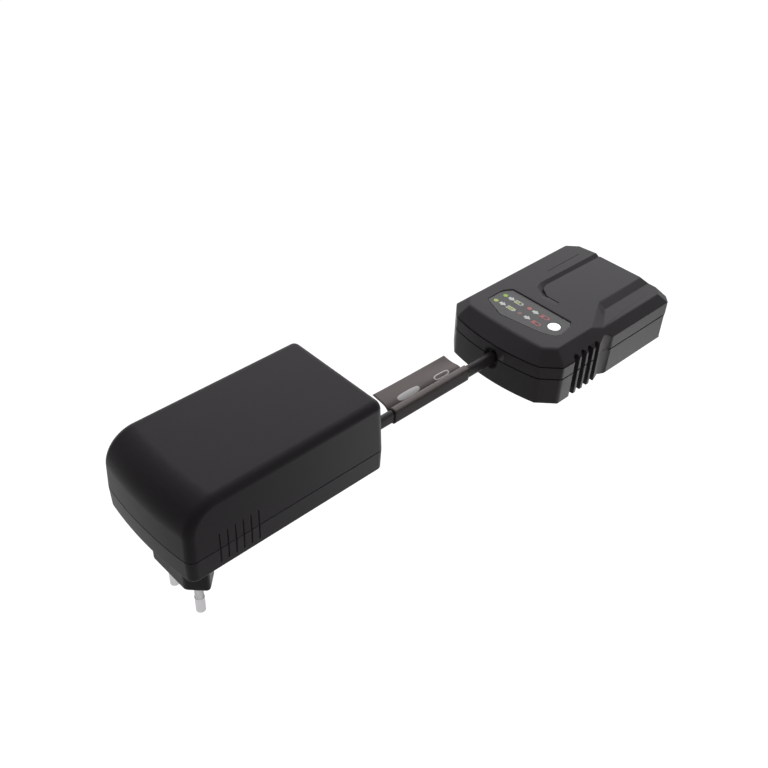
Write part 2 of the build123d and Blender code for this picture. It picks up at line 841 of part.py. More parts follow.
for side, name in ((1, "positive"), (-1, "negative")):
    core_z = lead_z + side * core_radius
    fall_x = lead_start - wire_drop - side * wire_drop_offset
    with BuildPart() as output_wire:
        with BuildLine() as route:
            FilletPolyline(
                (lead_start, lead_y, core_z),
                (fall_x, lead_y, core_z),
                (fall_x, lead_y, adapter_board_top),
                radius=wire_bend,
            )
        with BuildSketch(Plane(origin=route.line @ 0, z_dir=route.line % 0)):
            Circle(wire_radius)
        sweep()
    pieces[f"output_wire_{name}"] = output_wire

label_wrap_width = 2 * (core_radius + slip_gap)
label_wrap_height = lead_height + 2 * slip_gap
with BuildPart() as lead_label:
    with BuildSketch(across(label_start + label_length)):
        SlotOverall(label_wrap_height + 2 * label_film, label_wrap_width + 2 * label_film, rotation=90)
        with Locations((-label_flag / 2, (label_wrap_height + label_film) / 2)):
            Rectangle(label_flag, label_film)
        SlotOverall(label_wrap_height, label_wrap_width, rotation=90, mode=Mode.SUBTRACT)
    extrude(amount=label_length)
pieces["lead_label"] = lead_label

# ---------------------------------------------------------------- head


def head_outline(front, far, half_width, bow, front_corner, far_corner):
    """A chamfered rectangle with a bowed front."""
    side = half_width - front_corner
    with BuildLine() as rim:
        nose = ThreePointArc((front + bow, -side), (front, 0), (front + bow, side))
        Polyline(
            nose @ 1,
            (front + bow + front_corner, half_width),
            (far - far_corner, half_width),
            (far, half_width - far_corner),
            (far, -half_width + far_corner),
            (far - far_corner, -half_width),
            (front + bow + front_corner, -half_width),
            nose @ 0,
        )
    make_face(rim.edges())


def side_outline(inset):
    """Plan of the head at its belt and parting."""
    trim = inset * (2 - 2**0.5)
    head_outline(
        inset,
        head_length - inset,
        head_half_width - inset,
        head_front_bow,
        head_front_corner - trim,
        head_far_corner - trim,
    )


def roof_outline(inset):
    """Plan of the head's flat top, inside its bevels."""
    trim = inset * (2 - 2**0.5)
    head_outline(
        bevel_front - roof_front_bow + inset,
        head_length - bevel_far - inset,
        head_half_width - bevel_side - inset,
        roof_front_bow,
        roof_front_corner - trim,
        roof_far_corner - trim,
    )


def step_cutter(inset):
    """What is cut from the roof to leave the lower panel and its bevel, grown or shrunk by inset."""
    run = 2 * head_length
    outside = -2 * head_half_width
    low = [
        (step_front, step_front_inset - head_half_width),
        (step_bend, step_inset - head_half_width),
        (run, step_inset - head_half_width),
        (run, outside),
        (step_front, outside),
    ]
    high = [
        (step_bevel_front, step_bevel_front_inset - head_half_width),
        (step_bend, step_bevel_inset - head_half_width),
        (run, step_bevel_inset - head_half_width),
        (run, outside),
        (step_bevel_front, outside),
    ]
    with BuildPart() as cutter:
        with BuildSketch(head_plane(step_z - inset)):
            with BuildLine():
                Polyline(*[(u - inset, v + inset) for u, v in low], close=True)
            make_face()
        with BuildSketch(head_plane(head_top - inset)):
            with BuildLine():
                Polyline(*[(u - inset, v + inset) for u, v in high], close=True)
            make_face()
        loft(ruled=True)
    return cutter.part


def waist_cutter(inset):
    """The upright notch in the right-hand side, between the finger slots and the rear block."""
    outside = -2 * head_half_width
    with BuildPart() as cutter:
        with BuildSketch(head_plane(0)):
            with BuildLine():
                Polyline(
                    (waist_front - inset, outside),
                    (waist_front - inset, -head_half_width + inset / 2),
                    (waist_bottom, -head_half_width + waist_depth + inset),
                    (waist_back + inset, -head_half_width + inset / 2),
                    (waist_back + inset, outside),
                    close=True,
                )
            make_face()
        extrude(amount=2 * head_top)
    return cutter.part


def head_upper_form(inset):
    """The upper half of the head: upright sides, bevels, the lower rear panel and the waist."""
    with BuildPart() as form:
        with BuildSketch(head_plane(parting_z)):
            side_outline(inset)
        extrude(amount=belt_z - parting_z)
        with BuildSketch(head_plane(belt_z)):
            side_outline(inset)
        with BuildSketch(head_plane(head_top - inset)):
            roof_outline(inset)
        loft(ruled=True)
        add(step_cutter(inset), mode=Mode.SUBTRACT)
        add(waist_cutter(inset), mode=Mode.SUBTRACT)
    return form.part


def side_groove(low, height, depth, far):
    """A ring cut into the head's upright sides, as far back as far."""
    with BuildPart() as ring:
        with BuildSketch(head_plane(low)):
            side_outline(0)
        extrude(amount=height)
        with BuildSketch(head_plane(low)):
            side_outline(depth)
        extrude(amount=height, mode=Mode.SUBTRACT)
        with BuildSketch(head_plane(low)):
            with Locations((far - head_length / 2, 0)):
                Rectangle(head_length, 3 * head_half_width)
        extrude(amount=height, mode=Mode.INTERSECT)
    return ring.part


def finger_slots():
    """Four upright slots with round upper ends, cut into the head's right side and open at the bottom."""
    low = head_bottom - slot_width
    middle = (low + slot_top) / 2
    wall = Plane(
        origin=(head_front, lead_y - head_half_width, middle), x_dir=(1, 0, 0), z_dir=(0, -1, 0)
    )
    with BuildPart() as cutter:
        with BuildSketch(wall):
            for slot in range(slot_count):
                with Locations((slot_first + slot * slot_pitch, 0)):
                    SlotOverall(slot_top - low, slot_width, rotation=90)
        extrude(amount=slot_depth, both=True)
    return cutter.part


def slot_pad():
    """The block behind the finger slots that the cavity leaves standing."""
    last = slot_first + (slot_count - 1) * slot_pitch
    margin = slot_width / 2 + head_wall
    low_v = -head_half_width
    high_v = -head_half_width + slot_depth + slot_backing
    with BuildPart() as pad:
        with BuildSketch(head_plane(head_bottom)):
            with Locations(((slot_first + last) / 2, (low_v + high_v) / 2)):
                Rectangle(last - slot_first + 2 * margin, high_v - low_v)
        extrude(amount=head_top - head_bottom)
    return pad.part


def gland_cutter(growth=0.0):
    """The window in the head's front wall for the lead's strain relief, with its flared mouth."""
    mouth = Plane(origin=(head_front, lead_y, lead_z), x_dir=(0, -1, 0), z_dir=(-1, 0, 0))
    with BuildPart() as cutter:
        with BuildSketch(mouth):
            SlotOverall(gland_height, gland_width, rotation=90)
        extrude(amount=-(head_wall + slip_gap + gland_flare_depth))
        with BuildSketch(mouth):
            SlotOverall(gland_height + 2 * gland_flare, gland_width + 2 * gland_flare, rotation=90)
        with BuildSketch(mouth.offset(-gland_flare_depth)):
            SlotOverall(gland_height, gland_width, rotation=90)
        loft(ruled=True)
        with BuildSketch(mouth):
            SlotOverall(gland_height + 2 * gland_flare, gland_width + 2 * gland_flare, rotation=90)
        extrude(amount=gland_flare)
    return cutter.part


slots = finger_slots()
pad = slot_pad()
gland_window = gland_cutter()
panel_plane = Plane(
    origin=(head_front + panel_front, lead_y, head_top - overlay_film),
    x_dir=(1, 0, -tan(radians(panel_tilt))),
    z_dir=(tan(radians(panel_tilt)), 0, 1),
)


def panel_outline(inset):
    """The indicator panel, in its own tilted plane."""
    with BuildLine() as rim:
        Polyline(*panel_corners, close=True)
    make_face(rim.edges())
    if inset:
        offset(amount=-inset, kind=Kind.INTERSECTION)


def head_upper_cavity():
    """What is hollow in the upper half of the head."""
    with BuildPart() as cavity:
        add(head_upper_form(head_wall))
        add(pad, mode=Mode.SUBTRACT)
    return cavity.part


def head_lower_cavity():
    """What is hollow in the lower half of the head, outside the walls round the battery slot."""
    with BuildPart() as cavity:
        with BuildSketch(head_plane(head_floor)):
            side_outline(head_wall)
        extrude(amount=parting_z - head_floor)
        add(pad, mode=Mode.SUBTRACT)
        add(waist_cutter(head_wall), mode=Mode.SUBTRACT)
        with BuildSketch(head_plane(head_floor)):
            with Locations(((dock_front - dock_wall + head_length) / 2, 0)):
                Rectangle(head_length - dock_front + dock_wall, 2 * dock_outer_half_width)
        extrude(amount=dock_outer_ceiling - head_floor, mode=Mode.SUBTRACT)
    return cavity.part


def screw_bosses():
    """The posts that take the screws, from the parting up into the middle of the roof's wall."""
    with BuildPart() as bosses:
        with BuildSketch(head_plane(parting_z)):
            with Locations(*screw_spots):
                Circle(screw_post_radius)
        extrude(amount=head_top - parting_z)
        add(head_upper_form(head_wall / 2), mode=Mode.INTERSECT)
    return bosses.part


with BuildPart() as head_top_shell:
    add(head_upper_form(0))
    add(head_upper_cavity(), mode=Mode.SUBTRACT)
    add(screw_bosses())
    with BuildSketch(head_plane(parting_z)):
        with Locations(*screw_spots):
            Circle(screw_radius + tight_gap)
    extrude(amount=screw_seat + screw_length + screw_bore_relief - parting_z, mode=Mode.SUBTRACT)
    # indicator panel and window
    with BuildSketch(panel_plane):
        panel_outline(0)
    extrude(amount=head_wall, mode=Mode.SUBTRACT)
    with BuildSketch(head_plane(head_top)):
        with Locations((lens_u, lens_v)):
            Circle(lens_radius + slip_gap)
    extrude(amount=-2 * head_wall, mode=Mode.SUBTRACT)
    # groove round the middle panel
    with BuildSketch(head_plane(head_top)):
        with BuildLine():
            Polyline((head_length, roof_groove_far_v), *roof_groove)
        trace(line_width=roof_groove_width)
    extrude(amount=-roof_groove_depth, mode=Mode.SUBTRACT)
    add(side_groove(parting_z, parting_gap, parting_gap_depth, head_length), mode=Mode.SUBTRACT)
    add(
        side_groove(belt_z - belt_groove_width, belt_groove_width, belt_groove_depth, slot_first),
        mode=Mode.SUBTRACT,
    )
    add(slots, mode=Mode.SUBTRACT)
    add(gland_window, mode=Mode.SUBTRACT)
pieces["head_top_shell"] = head_top_shell

with BuildPart() as head_base_shell:
    with BuildSketch(head_plane(parting_z)):
        side_outline(0)
    extrude(amount=-(parting_z - head_bottom), taper=head_draft)
    chamfer(head_base_shell.faces().sort_by(Axis.Z)[0].edges(), head_bottom_chamfer)
    add(head_lower_cavity(), mode=Mode.SUBTRACT)
    # battery slot between its two rails
    with BuildSketch(head_plane(head_bottom)):
        with Locations((dock_front + dock_run / 2, 0)):
            Rectangle(dock_run, 2 * (dock_half_width - rail_width))
    extrude(amount=dock_ceiling - head_bottom, mode=Mode.SUBTRACT)
    with BuildSketch(head_plane(head_bottom + rail_height)):
        with Locations((dock_front + dock_run / 2, 0)):
            Rectangle(dock_run, 2 * dock_half_width)
    extrude(amount=dock_ceiling - head_bottom - rail_height, mode=Mode.SUBTRACT)
    # screw posts
    with BuildSketch(head_plane(head_floor)):
        with Locations(*screw_spots):
            Circle(screw_post_radius)
    extrude(amount=parting_z - head_floor)
    with BuildSketch(head_plane(head_bottom)):
        with Locations(*screw_spots):
            Circle(screw_head_radius + slip_gap)
    extrude(amount=screw_seat - head_bottom, mode=Mode.SUBTRACT)
    with BuildSketch(head_plane(screw_seat)):
        with Locations(*screw_spots):
            Circle(screw_radius + slip_gap)
    extrude(amount=parting_z - screw_seat, mode=Mode.SUBTRACT)
    # board pegs
    with BuildSketch(head_plane(dock_outer_ceiling)):
        with Locations(*head_pegs):
            Circle(post_radius)
    extrude(amount=head_board_bottom - dock_outer_ceiling)
    with BuildSketch(head_plane(head_board_bottom)):
        with Locations(*head_pegs):
            Circle(peg_radius)
    extrude(amount=board_thickness + peg_radius)
    # slots for the blades
    with BuildSketch(head_plane(blade_low)):
        with Locations((dock_front - dock_wall / 2, 0)):
            with GridLocations(0, blade_pitch, 1, blade_count):
                Rectangle(dock_wall, blade_thickness + 2 * tight_gap)
    extrude(amount=blade_height + tight_gap, mode=Mode.SUBTRACT)
    add(slots, mode=Mode.SUBTRACT)
    add(waist_cutter(0), mode=Mode.SUBTRACT)
    add(gland_window, mode=Mode.SUBTRACT)
pieces["head_base_shell"] = head_base_shell

with BuildPart() as head_screws:
    with BuildSketch(head_plane(screw_seat)):
        with Locations(*screw_spots):
            Circle(screw_head_radius)
    extrude(amount=-screw_head_height)
    fillet(head_screws.faces().group_by(Axis.Z)[0].edges(), screw_head_fillet)
    with BuildSketch(head_plane(screw_seat)):
        with Locations(*screw_spots):
            Circle(screw_radius)
    extrude(amount=screw_length)
    with BuildSketch(head_plane(screw_seat - screw_head_height)):
        with Locations(*screw_spots):
            Rectangle(drive_length, drive_width)
            Rectangle(drive_width, drive_length)
    extrude(amount=drive_depth, mode=Mode.SUBTRACT)
pieces["head_screws"] = head_screws

with BuildPart() as indicator_overlay:
    with BuildSketch(panel_plane):
        panel_outline(slip_gap)
    extrude(amount=overlay_film)
    with BuildSketch(head_plane(head_top)):
        with Locations((lens_u, lens_v)):
            Circle(lens_radius + slip_gap)
    extrude(amount=-2 * head_wall, mode=Mode.SUBTRACT)
pieces["indicator_overlay"] = indicator_overlay

lens_drop = tan(radians(panel_tilt)) * (lens_u - panel_front)
lens_top = head_top - lens_drop + lens_proud
with BuildPart() as indicator_lens:
    with BuildSketch(head_plane(head_board_top + led_height + slip_gap)):
        with Locations((lens_u, lens_v)):
            Circle(lens_radius)
    extrude(amount=lens_top - head_board_top - led_height - slip_gap)
    fillet(indicator_lens.edges().group_by(Axis.Z)[-1], lens_edge_radius)
    with BuildSketch(head_plane(head_top - head_wall - slip_gap)):
        with Locations((lens_u, lens_v)):
            Circle(lens_flange_radius)
    extrude(amount=-lens_flange)
pieces["indicator_lens"] = indicator_lens


def on_head_board(u, v, height=0.0):
    """A level plane over a point of the head's board."""
    return Plane(origin=(head_front + u, lead_y + v, head_board_top + height))


with BuildPart() as indicator_led:
    with BuildSketch(on_head_board(lens_u, lens_v)):
        Rectangle(led_size, led_size)
    extrude(amount=led_height)
    with BuildSketch(on_head_board(lens_u, lens_v, led_height)):
        Circle(led_well_radius)
    extrude(amount=-led_well_depth, mode=Mode.SUBTRACT)
pieces["indicator_led"] = indicator_led

with BuildPart() as head_board:
    with BuildSketch(head_plane(head_board_bottom)):
        with Locations(((head_board_front + head_board_far) / 2, 0)):
            board_length = head_board_far - head_board_front
            RectangleRounded(board_length, 2 * head_board_half_width, board_corner_radius)
        with Locations(*head_pegs):
            Circle(peg_radius + slip_gap, mode=Mode.SUBTRACT)
    extrude(amount=board_thickness)
pieces["head_board"] = head_board

with BuildPart() as charge_controller:
    with BuildSketch(on_head_board(*charger_spot, charger_lift)):
        Rectangle(charger_size, charger_size)
    extrude(amount=charger_height)
    lead_length, lead_width = charger_lead
    with BuildSketch(on_head_board(*charger_spot)):
        with GridLocations(charger_lead_pitch, charger_size + lead_length, charger_lead_count, 2):
            Rectangle(lead_width, lead_length)
        with GridLocations(charger_size + lead_length, charger_lead_pitch, 2, charger_lead_count):
            Rectangle(lead_length, lead_width)
    extrude(amount=charger_lift + charger_height / 2)
pieces["charge_controller"] = charge_controller

with BuildPart() as charge_transistor:
    with BuildSketch(on_head_board(*power_transistor_spot)):
        Rectangle(power_transistor_size[0], power_transistor_size[1])
    extrude(amount=power_transistor_size[2])
    chamfer(charge_transistor.faces().sort_by(Axis.Z)[-1].edges(), power_transistor_chamfer)
    with BuildSketch(on_head_board(*power_transistor_spot)):
        with Locations((power_transistor_size[0] / 2, 0)):
            with GridLocations(0, power_transistor_lead_pitch, 1, 2):
                lead_run, lead_width = power_transistor_lead[:2]
                Rectangle(lead_run, lead_width, align=(Align.MIN, Align.CENTER))
    extrude(amount=power_transistor_lead[2])
pieces["charge_transistor"] = charge_transistor

with BuildPart() as sense_resistor:
    with BuildSketch(on_head_board(*resistor_spot)):
        Rectangle(resistor_size[0], resistor_size[1])
    extrude(amount=resistor_size[2])
pieces["sense_resistor"] = sense_resistor

with BuildPart() as power_inductor:
    with BuildSketch(on_head_board(*inductor_spot)):
        RectangleRounded(inductor_size, inductor_size, inductor_corner_radius)
    extrude(amount=inductor_height)
    with BuildSketch(on_head_board(*inductor_spot, inductor_height)):
        Circle(inductor_ring_outer)
        Circle(inductor_ring_inner, mode=Mode.SUBTRACT)
    extrude(amount=-inductor_ring_depth, mode=Mode.SUBTRACT)
pieces["power_inductor"] = power_inductor

with BuildPart() as filter_capacitor:
    with BuildSketch(on_head_board(*filter_spot)):
        Rectangle(filter_foot, filter_foot)
    extrude(amount=filter_foot_height)
    with BuildSketch(on_head_board(*filter_spot, filter_foot_height)):
        Circle(filter_radius)
    extrude(amount=filter_height)
    fillet(filter_capacitor.faces().sort_by(Axis.Z)[-1].edges(), filter_edge_radius)
pieces["filter_capacitor"] = filter_capacitor

# ---------------------------------------------------------------- contacts of the head

with BuildPart() as contact_carrier:
    with BuildSketch(head_plane(head_floor)):
        with Locations(((carrier_front + dock_front - dock_wall) / 2, 0)):
            Rectangle(dock_front - dock_wall - carrier_front, 2 * carrier_half_width)
    extrude(amount=blade_low + blade_height + carrier_cap - head_floor)
    with BuildSketch(head_plane(blade_low)):
        with Locations(*[((carrier_front + dock_front - dock_wall) / 2, v) for v in blade_offsets]):
            Rectangle(dock_front - dock_wall - carrier_front, blade_thickness + 2 * tight_gap)
    extrude(amount=blade_height + tight_gap, mode=Mode.SUBTRACT)
pieces["contact_carrier"] = contact_carrier

for index, offset_v in enumerate(blade_offsets, start=1):
    blade_plane = Plane(origin=(head_front, lead_y + offset_v, 0), x_dir=(1, 0, 0), z_dir=(0, -1, 0))
    with BuildPart() as contact_blade:
        with BuildSketch(blade_plane):
            with BuildLine():
                Polyline(
                    (blade_tail_u, blade_low),
                    (blade_far - blade_tip_chamfer, blade_low),
                    (blade_far, blade_low + blade_tip_chamfer),
                    (blade_far, blade_low + blade_height - blade_tip_chamfer),
                    (blade_far - blade_tip_chamfer, blade_low + blade_height),
                    (blade_tail_u + blade_tail_width, blade_low + blade_height),
                    (blade_tail_u + blade_tail_width, head_board_bottom),
                    (blade_tail_u, head_board_bottom),
                    close=True,
                )
            make_face()
        extrude(amount=blade_thickness / 2, both=True)
    pieces[f"contact_blade_{index}"] = contact_blade

# ---------------------------------------------------------------- the lead's end in the head

with BuildPart() as head_gland:
    with BuildSketch(across(head_front + gland_flare_depth + slip_gap)):
        SlotOverall(gland_height - 2 * slip_gap, gland_width - 2 * slip_gap, rotation=90)
    extrude(amount=-(lead_tail - gland_flare_depth - 2 * slip_gap))
    with BuildSketch(across(head_front + head_wall + 2 * slip_gap)):
        Rectangle(gland_width + 2 * gland_flange, gland_height + 2 * gland_flange)
    extrude(amount=-(lead_tail - head_wall - 3 * slip_gap))
    with BuildSketch(across(head_front)):
        lead_section(tight_gap)
    extrude(amount=-2 * lead_tail, mode=Mode.SUBTRACT)
pieces["head_gland"] = head_gland

for side, name in ((1, "positive"), (-1, "negative")):
    core_z = lead_z + side * core_radius
    rise_x = lead_end + head_wire_rise - side * head_wire_offset
    with BuildPart() as head_wire:
        with BuildLine() as route:
            FilletPolyline(
                (lead_end, lead_y, core_z),
                (rise_x, lead_y, core_z),
                (rise_x, lead_y, head_board_bottom),
                radius=head_wire_bend,
            )
        with BuildSketch(Plane(origin=route.line @ 0, z_dir=route.line % 0)):
            Circle(wire_radius)
        sweep()
    pieces[f"head_wire_{name}"] = head_wire

print("cord radii: none, the lead is one straight run of", round(lead_end - lead_start, 1), "mm")
for name, piece in pieces.items():
    piece.part.label = name
    export_step(piece.part, f"parts/{name}.step")
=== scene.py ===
"""Power tool battery charger: plug-in adapter, flat lead and charging head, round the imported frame."""

import json
from math import cos, pi, radians, sin, tan

import bmesh
import bpy
from mathutils import Matrix, Vector


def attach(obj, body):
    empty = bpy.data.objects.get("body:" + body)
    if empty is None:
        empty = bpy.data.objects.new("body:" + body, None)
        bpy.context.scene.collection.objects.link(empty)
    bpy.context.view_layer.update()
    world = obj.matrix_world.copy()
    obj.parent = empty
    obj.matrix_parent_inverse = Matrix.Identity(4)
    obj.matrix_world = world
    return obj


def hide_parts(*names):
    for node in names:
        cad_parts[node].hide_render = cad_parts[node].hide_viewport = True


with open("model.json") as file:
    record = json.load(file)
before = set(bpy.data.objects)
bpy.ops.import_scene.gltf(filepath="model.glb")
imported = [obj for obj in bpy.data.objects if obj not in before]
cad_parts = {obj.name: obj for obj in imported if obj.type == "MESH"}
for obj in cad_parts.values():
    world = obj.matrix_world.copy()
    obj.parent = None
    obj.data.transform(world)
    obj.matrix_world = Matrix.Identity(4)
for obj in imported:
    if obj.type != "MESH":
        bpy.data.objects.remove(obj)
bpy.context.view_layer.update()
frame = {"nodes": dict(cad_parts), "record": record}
MM = 0.001

# ---------------------------------------------------------------- camera

CAMERA_AT = Vector((-131.0, -240.1, 306.8)) * MM
CAMERA_AZIMUTH = radians(45.535)
CAMERA_DOWN = radians(38.908)
CAMERA_ROLL = radians(2.329)
FOCAL_PIXELS = 1024.64
PICTURE_PIXELS = 768
SENSOR = 36.0


def place_camera():
    """The camera, from its place, its heading and its roll."""
    ahead = Vector((
        cos(CAMERA_DOWN) * cos(CAMERA_AZIMUTH),
        cos(CAMERA_DOWN) * sin(CAMERA_AZIMUTH),
        -sin(CAMERA_DOWN),
    ))
    level = ahead.cross(Vector((0, 0, 1))).normalized()
    upward = level.cross(ahead)
    right = cos(CAMERA_ROLL) * level + sin(CAMERA_ROLL) * upward
    top = cos(CAMERA_ROLL) * upward - sin(CAMERA_ROLL) * level
    lens = bpy.data.cameras.new("camera")
    lens.sensor_width = SENSOR
    lens.lens = FOCAL_PIXELS * SENSOR / PICTURE_PIXELS
    lens.clip_start = 0.01
    lens.clip_end = 50
    camera = bpy.data.objects.new("camera", lens)
    turned = Matrix((right, top, -ahead)).transposed().to_4x4()
    camera.matrix_world = Matrix.Translation(CAMERA_AT) @ turned
    bpy.context.scene.collection.objects.link(camera)
    bpy.context.scene.camera = camera


place_camera()

# ---------------------------------------------------------------- sizes that the case gives

LEAD_Y = -16.7
LEAD_Z = 34.6
CORE_RADIUS = 1.55
HEAD_FRONT = 153.1
HEAD_TOP = 48.5


def head_point(u, v, z):
    """A point of the head, from its front face and the lead's line, in metres."""
    return Vector((HEAD_FRONT + u, LEAD_Y + v, z)) * MM


# ---------------------------------------------------------------- shader maths


class Sock:
    """A number socket whose operators add Math nodes."""

    def __init__(self, tree, socket):
        self.tree = tree
        self.socket = socket

    def math(self, operation, *others):
        inputs = {index: value for index, value in enumerate((self, *others))}
        return self.tree.node("ShaderNodeMath", {"operation": operation}, inputs)

    def __add__(self, other):
        return self.math("ADD", other)

    __radd__ = __add__

    def __sub__(self, other):
        return self.math("SUBTRACT", other)

    def __rsub__(self, other):
        return self.tree.node("ShaderNodeMath", {"operation": "SUBTRACT"}, {0: other, 1: self})

    def __mul__(self, other):
        return self.math("MULTIPLY", other)

    __rmul__ = __mul__

    def clamp(self):
        settings = {"operation": "ADD", "use_clamp": True}
        return self.tree.node("ShaderNodeMath", settings, {0: self, 1: 0.0})

    def above(self, edge, blur):
        """0 below an edge and 1 above it, blurred over a width."""
        return self.tree.node(
            "ShaderNodeMapRange",
            {"interpolation_type": "SMOOTHSTEP"},
            {"Value": self, "From Min": edge - blur / 2, "From Max": edge + blur / 2},
        )


class Finish:
    """A procedural material, built node by node."""

    def __init__(self, name):
        self.material = bpy.data.materials.new(name)
        self.material.use_nodes = True
        self.tree = self.material.node_tree
        self.tree.nodes.clear()

    def link(self, socket, value):
        if isinstance(value, Sock):
            self.tree.links.new(value.socket, socket)
        else:
            socket.default_value = value

    def node(self, kind, settings=(), inputs=(), output=0):
        """Any node: its settings first, then the values or links of its sockets."""
        made = self.tree.nodes.new(kind)
        for key, value in dict(settings).items():
            setattr(made, key, value)
        for key, value in dict(inputs).items():
            self.link(made.inputs[key], value)
        return Sock(self, made.outputs[output]) if made.outputs else made

    def place(self):
        return self.node("ShaderNodeTexCoord", output="Object")

    def noise(self, scale, detail, stretch=None):
        """Noise of a number of features per metre, stretched along an axis whose factor is small."""
        vector = self.place()
        if stretch:
            vector = self.node("ShaderNodeMapping", {}, {"Vector": vector, "Scale": stretch})
        return self.node(
            "ShaderNodeTexNoise", {}, {"Vector": vector, "Scale": scale, "Detail": detail}
        )

    def blend(self, mask, first, second):
        """A colour that goes from first to second with the mask."""
        return self.node(
            "ShaderNodeMix",
            {"data_type": "RGBA"},
            {"Factor": mask, 6: first, 7: second},
            output=2,
        )

    def bump(self, height, distance, strength):
        """A bumped normal, from a height between 0 and 1 and what 1 stands for, in metres."""
        inputs = {"Height": height, "Distance": distance, "Strength": strength}
        return self.node("ShaderNodeBump", {}, inputs)

    def close(self, **sockets):
        """Ends in a Principled BSDF; underscores in the names stand for spaces."""
        inputs = {key.replace("_", " "): value for key, value in sockets.items()}
        shader = self.node("ShaderNodeBsdfPrincipled", {}, inputs, output="BSDF")
        self.node("ShaderNodeOutputMaterial", {}, {"Surface": shader})
        return self.material


# ---------------------------------------------------------------- finishes

CASE_SHINE = 0.06       # the cases are matt, and mirror little of what is round them
CLOUD_SCALE = 28.0      # features per metre
SPARK_SCALE = 1500.0
SPARK_DEPTH = 0.00003   # in metres, like the next two
SKIN_DEPTH = 0.00002    # how deep a smooth surface is uneven
DRAWN_DEPTH = 0.00001   # how deep the lines of drawn metal are


def shades(color, spread):
    """A colour a little darker and a little lighter, with alpha."""
    return [[*(factor * c for c in color), 1] for factor in (1 - spread, 1 + spread)]


def case_plastic(name, color):
    """Moulded plastic with a fine spark texture and faint clouding."""
    f = Finish(name)
    cloud = f.noise(CLOUD_SCALE, detail=3.0)
    fine = f.noise(SPARK_SCALE, detail=2.0)
    dark, light = shades(color, 0.07)
    return f.close(
        Base_Color=f.blend(cloud, dark, light),
        Roughness=0.36 + 0.06 * fine,
        Specular_IOR_Level=CASE_SHINE,
        Normal=f.bump(fine, SPARK_DEPTH, 0.5),
    )


def smooth_finish(name, color, roughness, metallic=0.0, scale=300.0, spread=0.08, shine=0.3):
    """A plain moulded, drawn or dipped surface with a little unevenness."""
    f = Finish(name)
    uneven = f.noise(scale, detail=3.0)
    dark, light = shades(color, spread)
    return f.close(
        Base_Color=f.blend(uneven, dark, light),
        Roughness=roughness - 0.04 + 0.08 * uneven,
        Metallic=metallic,
        Specular_IOR_Level=shine,
        Normal=f.bump(uneven, SKIN_DEPTH, 0.4),
    )


def plated_metal(name, color, roughness, stretch):
    """Drawn and plated metal, with fine lines along the way that it was drawn."""
    f = Finish(name)
    lines = f.noise(900.0, detail=4.0, stretch=stretch)
    dark = [0.86 * c for c in color] + [1]
    return f.close(
        Base_Color=f.blend(lines, dark, [*color, 1]),
        Roughness=roughness + 0.1 * lines,
        Metallic=1.0,
        Normal=f.bump(lines, DRAWN_DEPTH, 0.5),
    )


print_white = smooth_finish("print_white", (0.97, 0.97, 0.97), 0.5, spread=0.02)
print_green = smooth_finish("print_green", (0.48, 0.85, 0.14), 0.5)
print_yellow = smooth_finish("print_yellow", (0.66, 0.82, 0.22), 0.5)
print_red = smooth_finish("print_red", (0.72, 0.20, 0.21), 0.5)
print_dim = smooth_finish("print_dim", (0.30, 0.17, 0.17), 0.5)
head_shadow = smooth_finish("head_shadow", (0.03, 0.028, 0.03), 0.5, shine=CASE_SHINE)

# colour, roughness and metallic of the slots that need nothing else
NODE_FINISH = {
    "inner_plastic": ((0.035, 0.035, 0.038), 0.45, 0),
    "screw_steel": ((0.45, 0.45, 0.46), 0.35, 1),
    "board_laminate": ((0.03, 0.14, 0.06), 0.35, 0),
    "wire_brown": ((0.12, 0.045, 0.02), 0.45, 0),
    "wire_blue": ((0.02, 0.06, 0.30), 0.45, 0),
    "wire_red": ((0.45, 0.02, 0.02), 0.45, 0),
    "wire_black": ((0.02, 0.02, 0.02), 0.45, 0),
    "fuse_body": ((0.16, 0.03, 0.02), 0.35, 0),
    "disc_coating": ((0.03, 0.10, 0.35), 0.30, 0),
    "box_plastic": ((0.62, 0.42, 0.05), 0.35, 0),
    "ferrite": ((0.05, 0.05, 0.052), 0.60, 0),
    "copper_wire": ((0.48, 0.18, 0.07), 0.30, 1),
    "chip_epoxy": ((0.018, 0.018, 0.020), 0.50, 0),
    "can_sleeve": ((0.02, 0.03, 0.06), 0.30, 0),
    "sink_aluminium": ((0.60, 0.60, 0.61), 0.40, 1),
    "winding_tape": ((0.60, 0.45, 0.06), 0.40, 0),
    "led_resin": ((0.85, 0.85, 0.80), 0.30, 0),
    "inductor_body": ((0.07, 0.07, 0.075), 0.60, 0),
    "can_aluminium": ((0.62, 0.62, 0.64), 0.35, 1),
}


# the label's marks: middle in X and Y, half the length and half the width, in millimetres
WHITE_PATCH = (106.9, -12.5, 6.2, 1.35)
FRAME_OUTSIDE = (126.3, -12.6, 4.4, 1.25)
FRAME_INSIDE = (126.3, -12.6, 3.7, 0.75)
FLAG_BESIDE = 3.0       # the flag is farther from the lead's middle line than this, in Y; the painted shade stays nearer the lead than this
WRAP_SHADE_ROOF = 2.9         # painted shade: the wrap round the lead is darkened up to this height over it
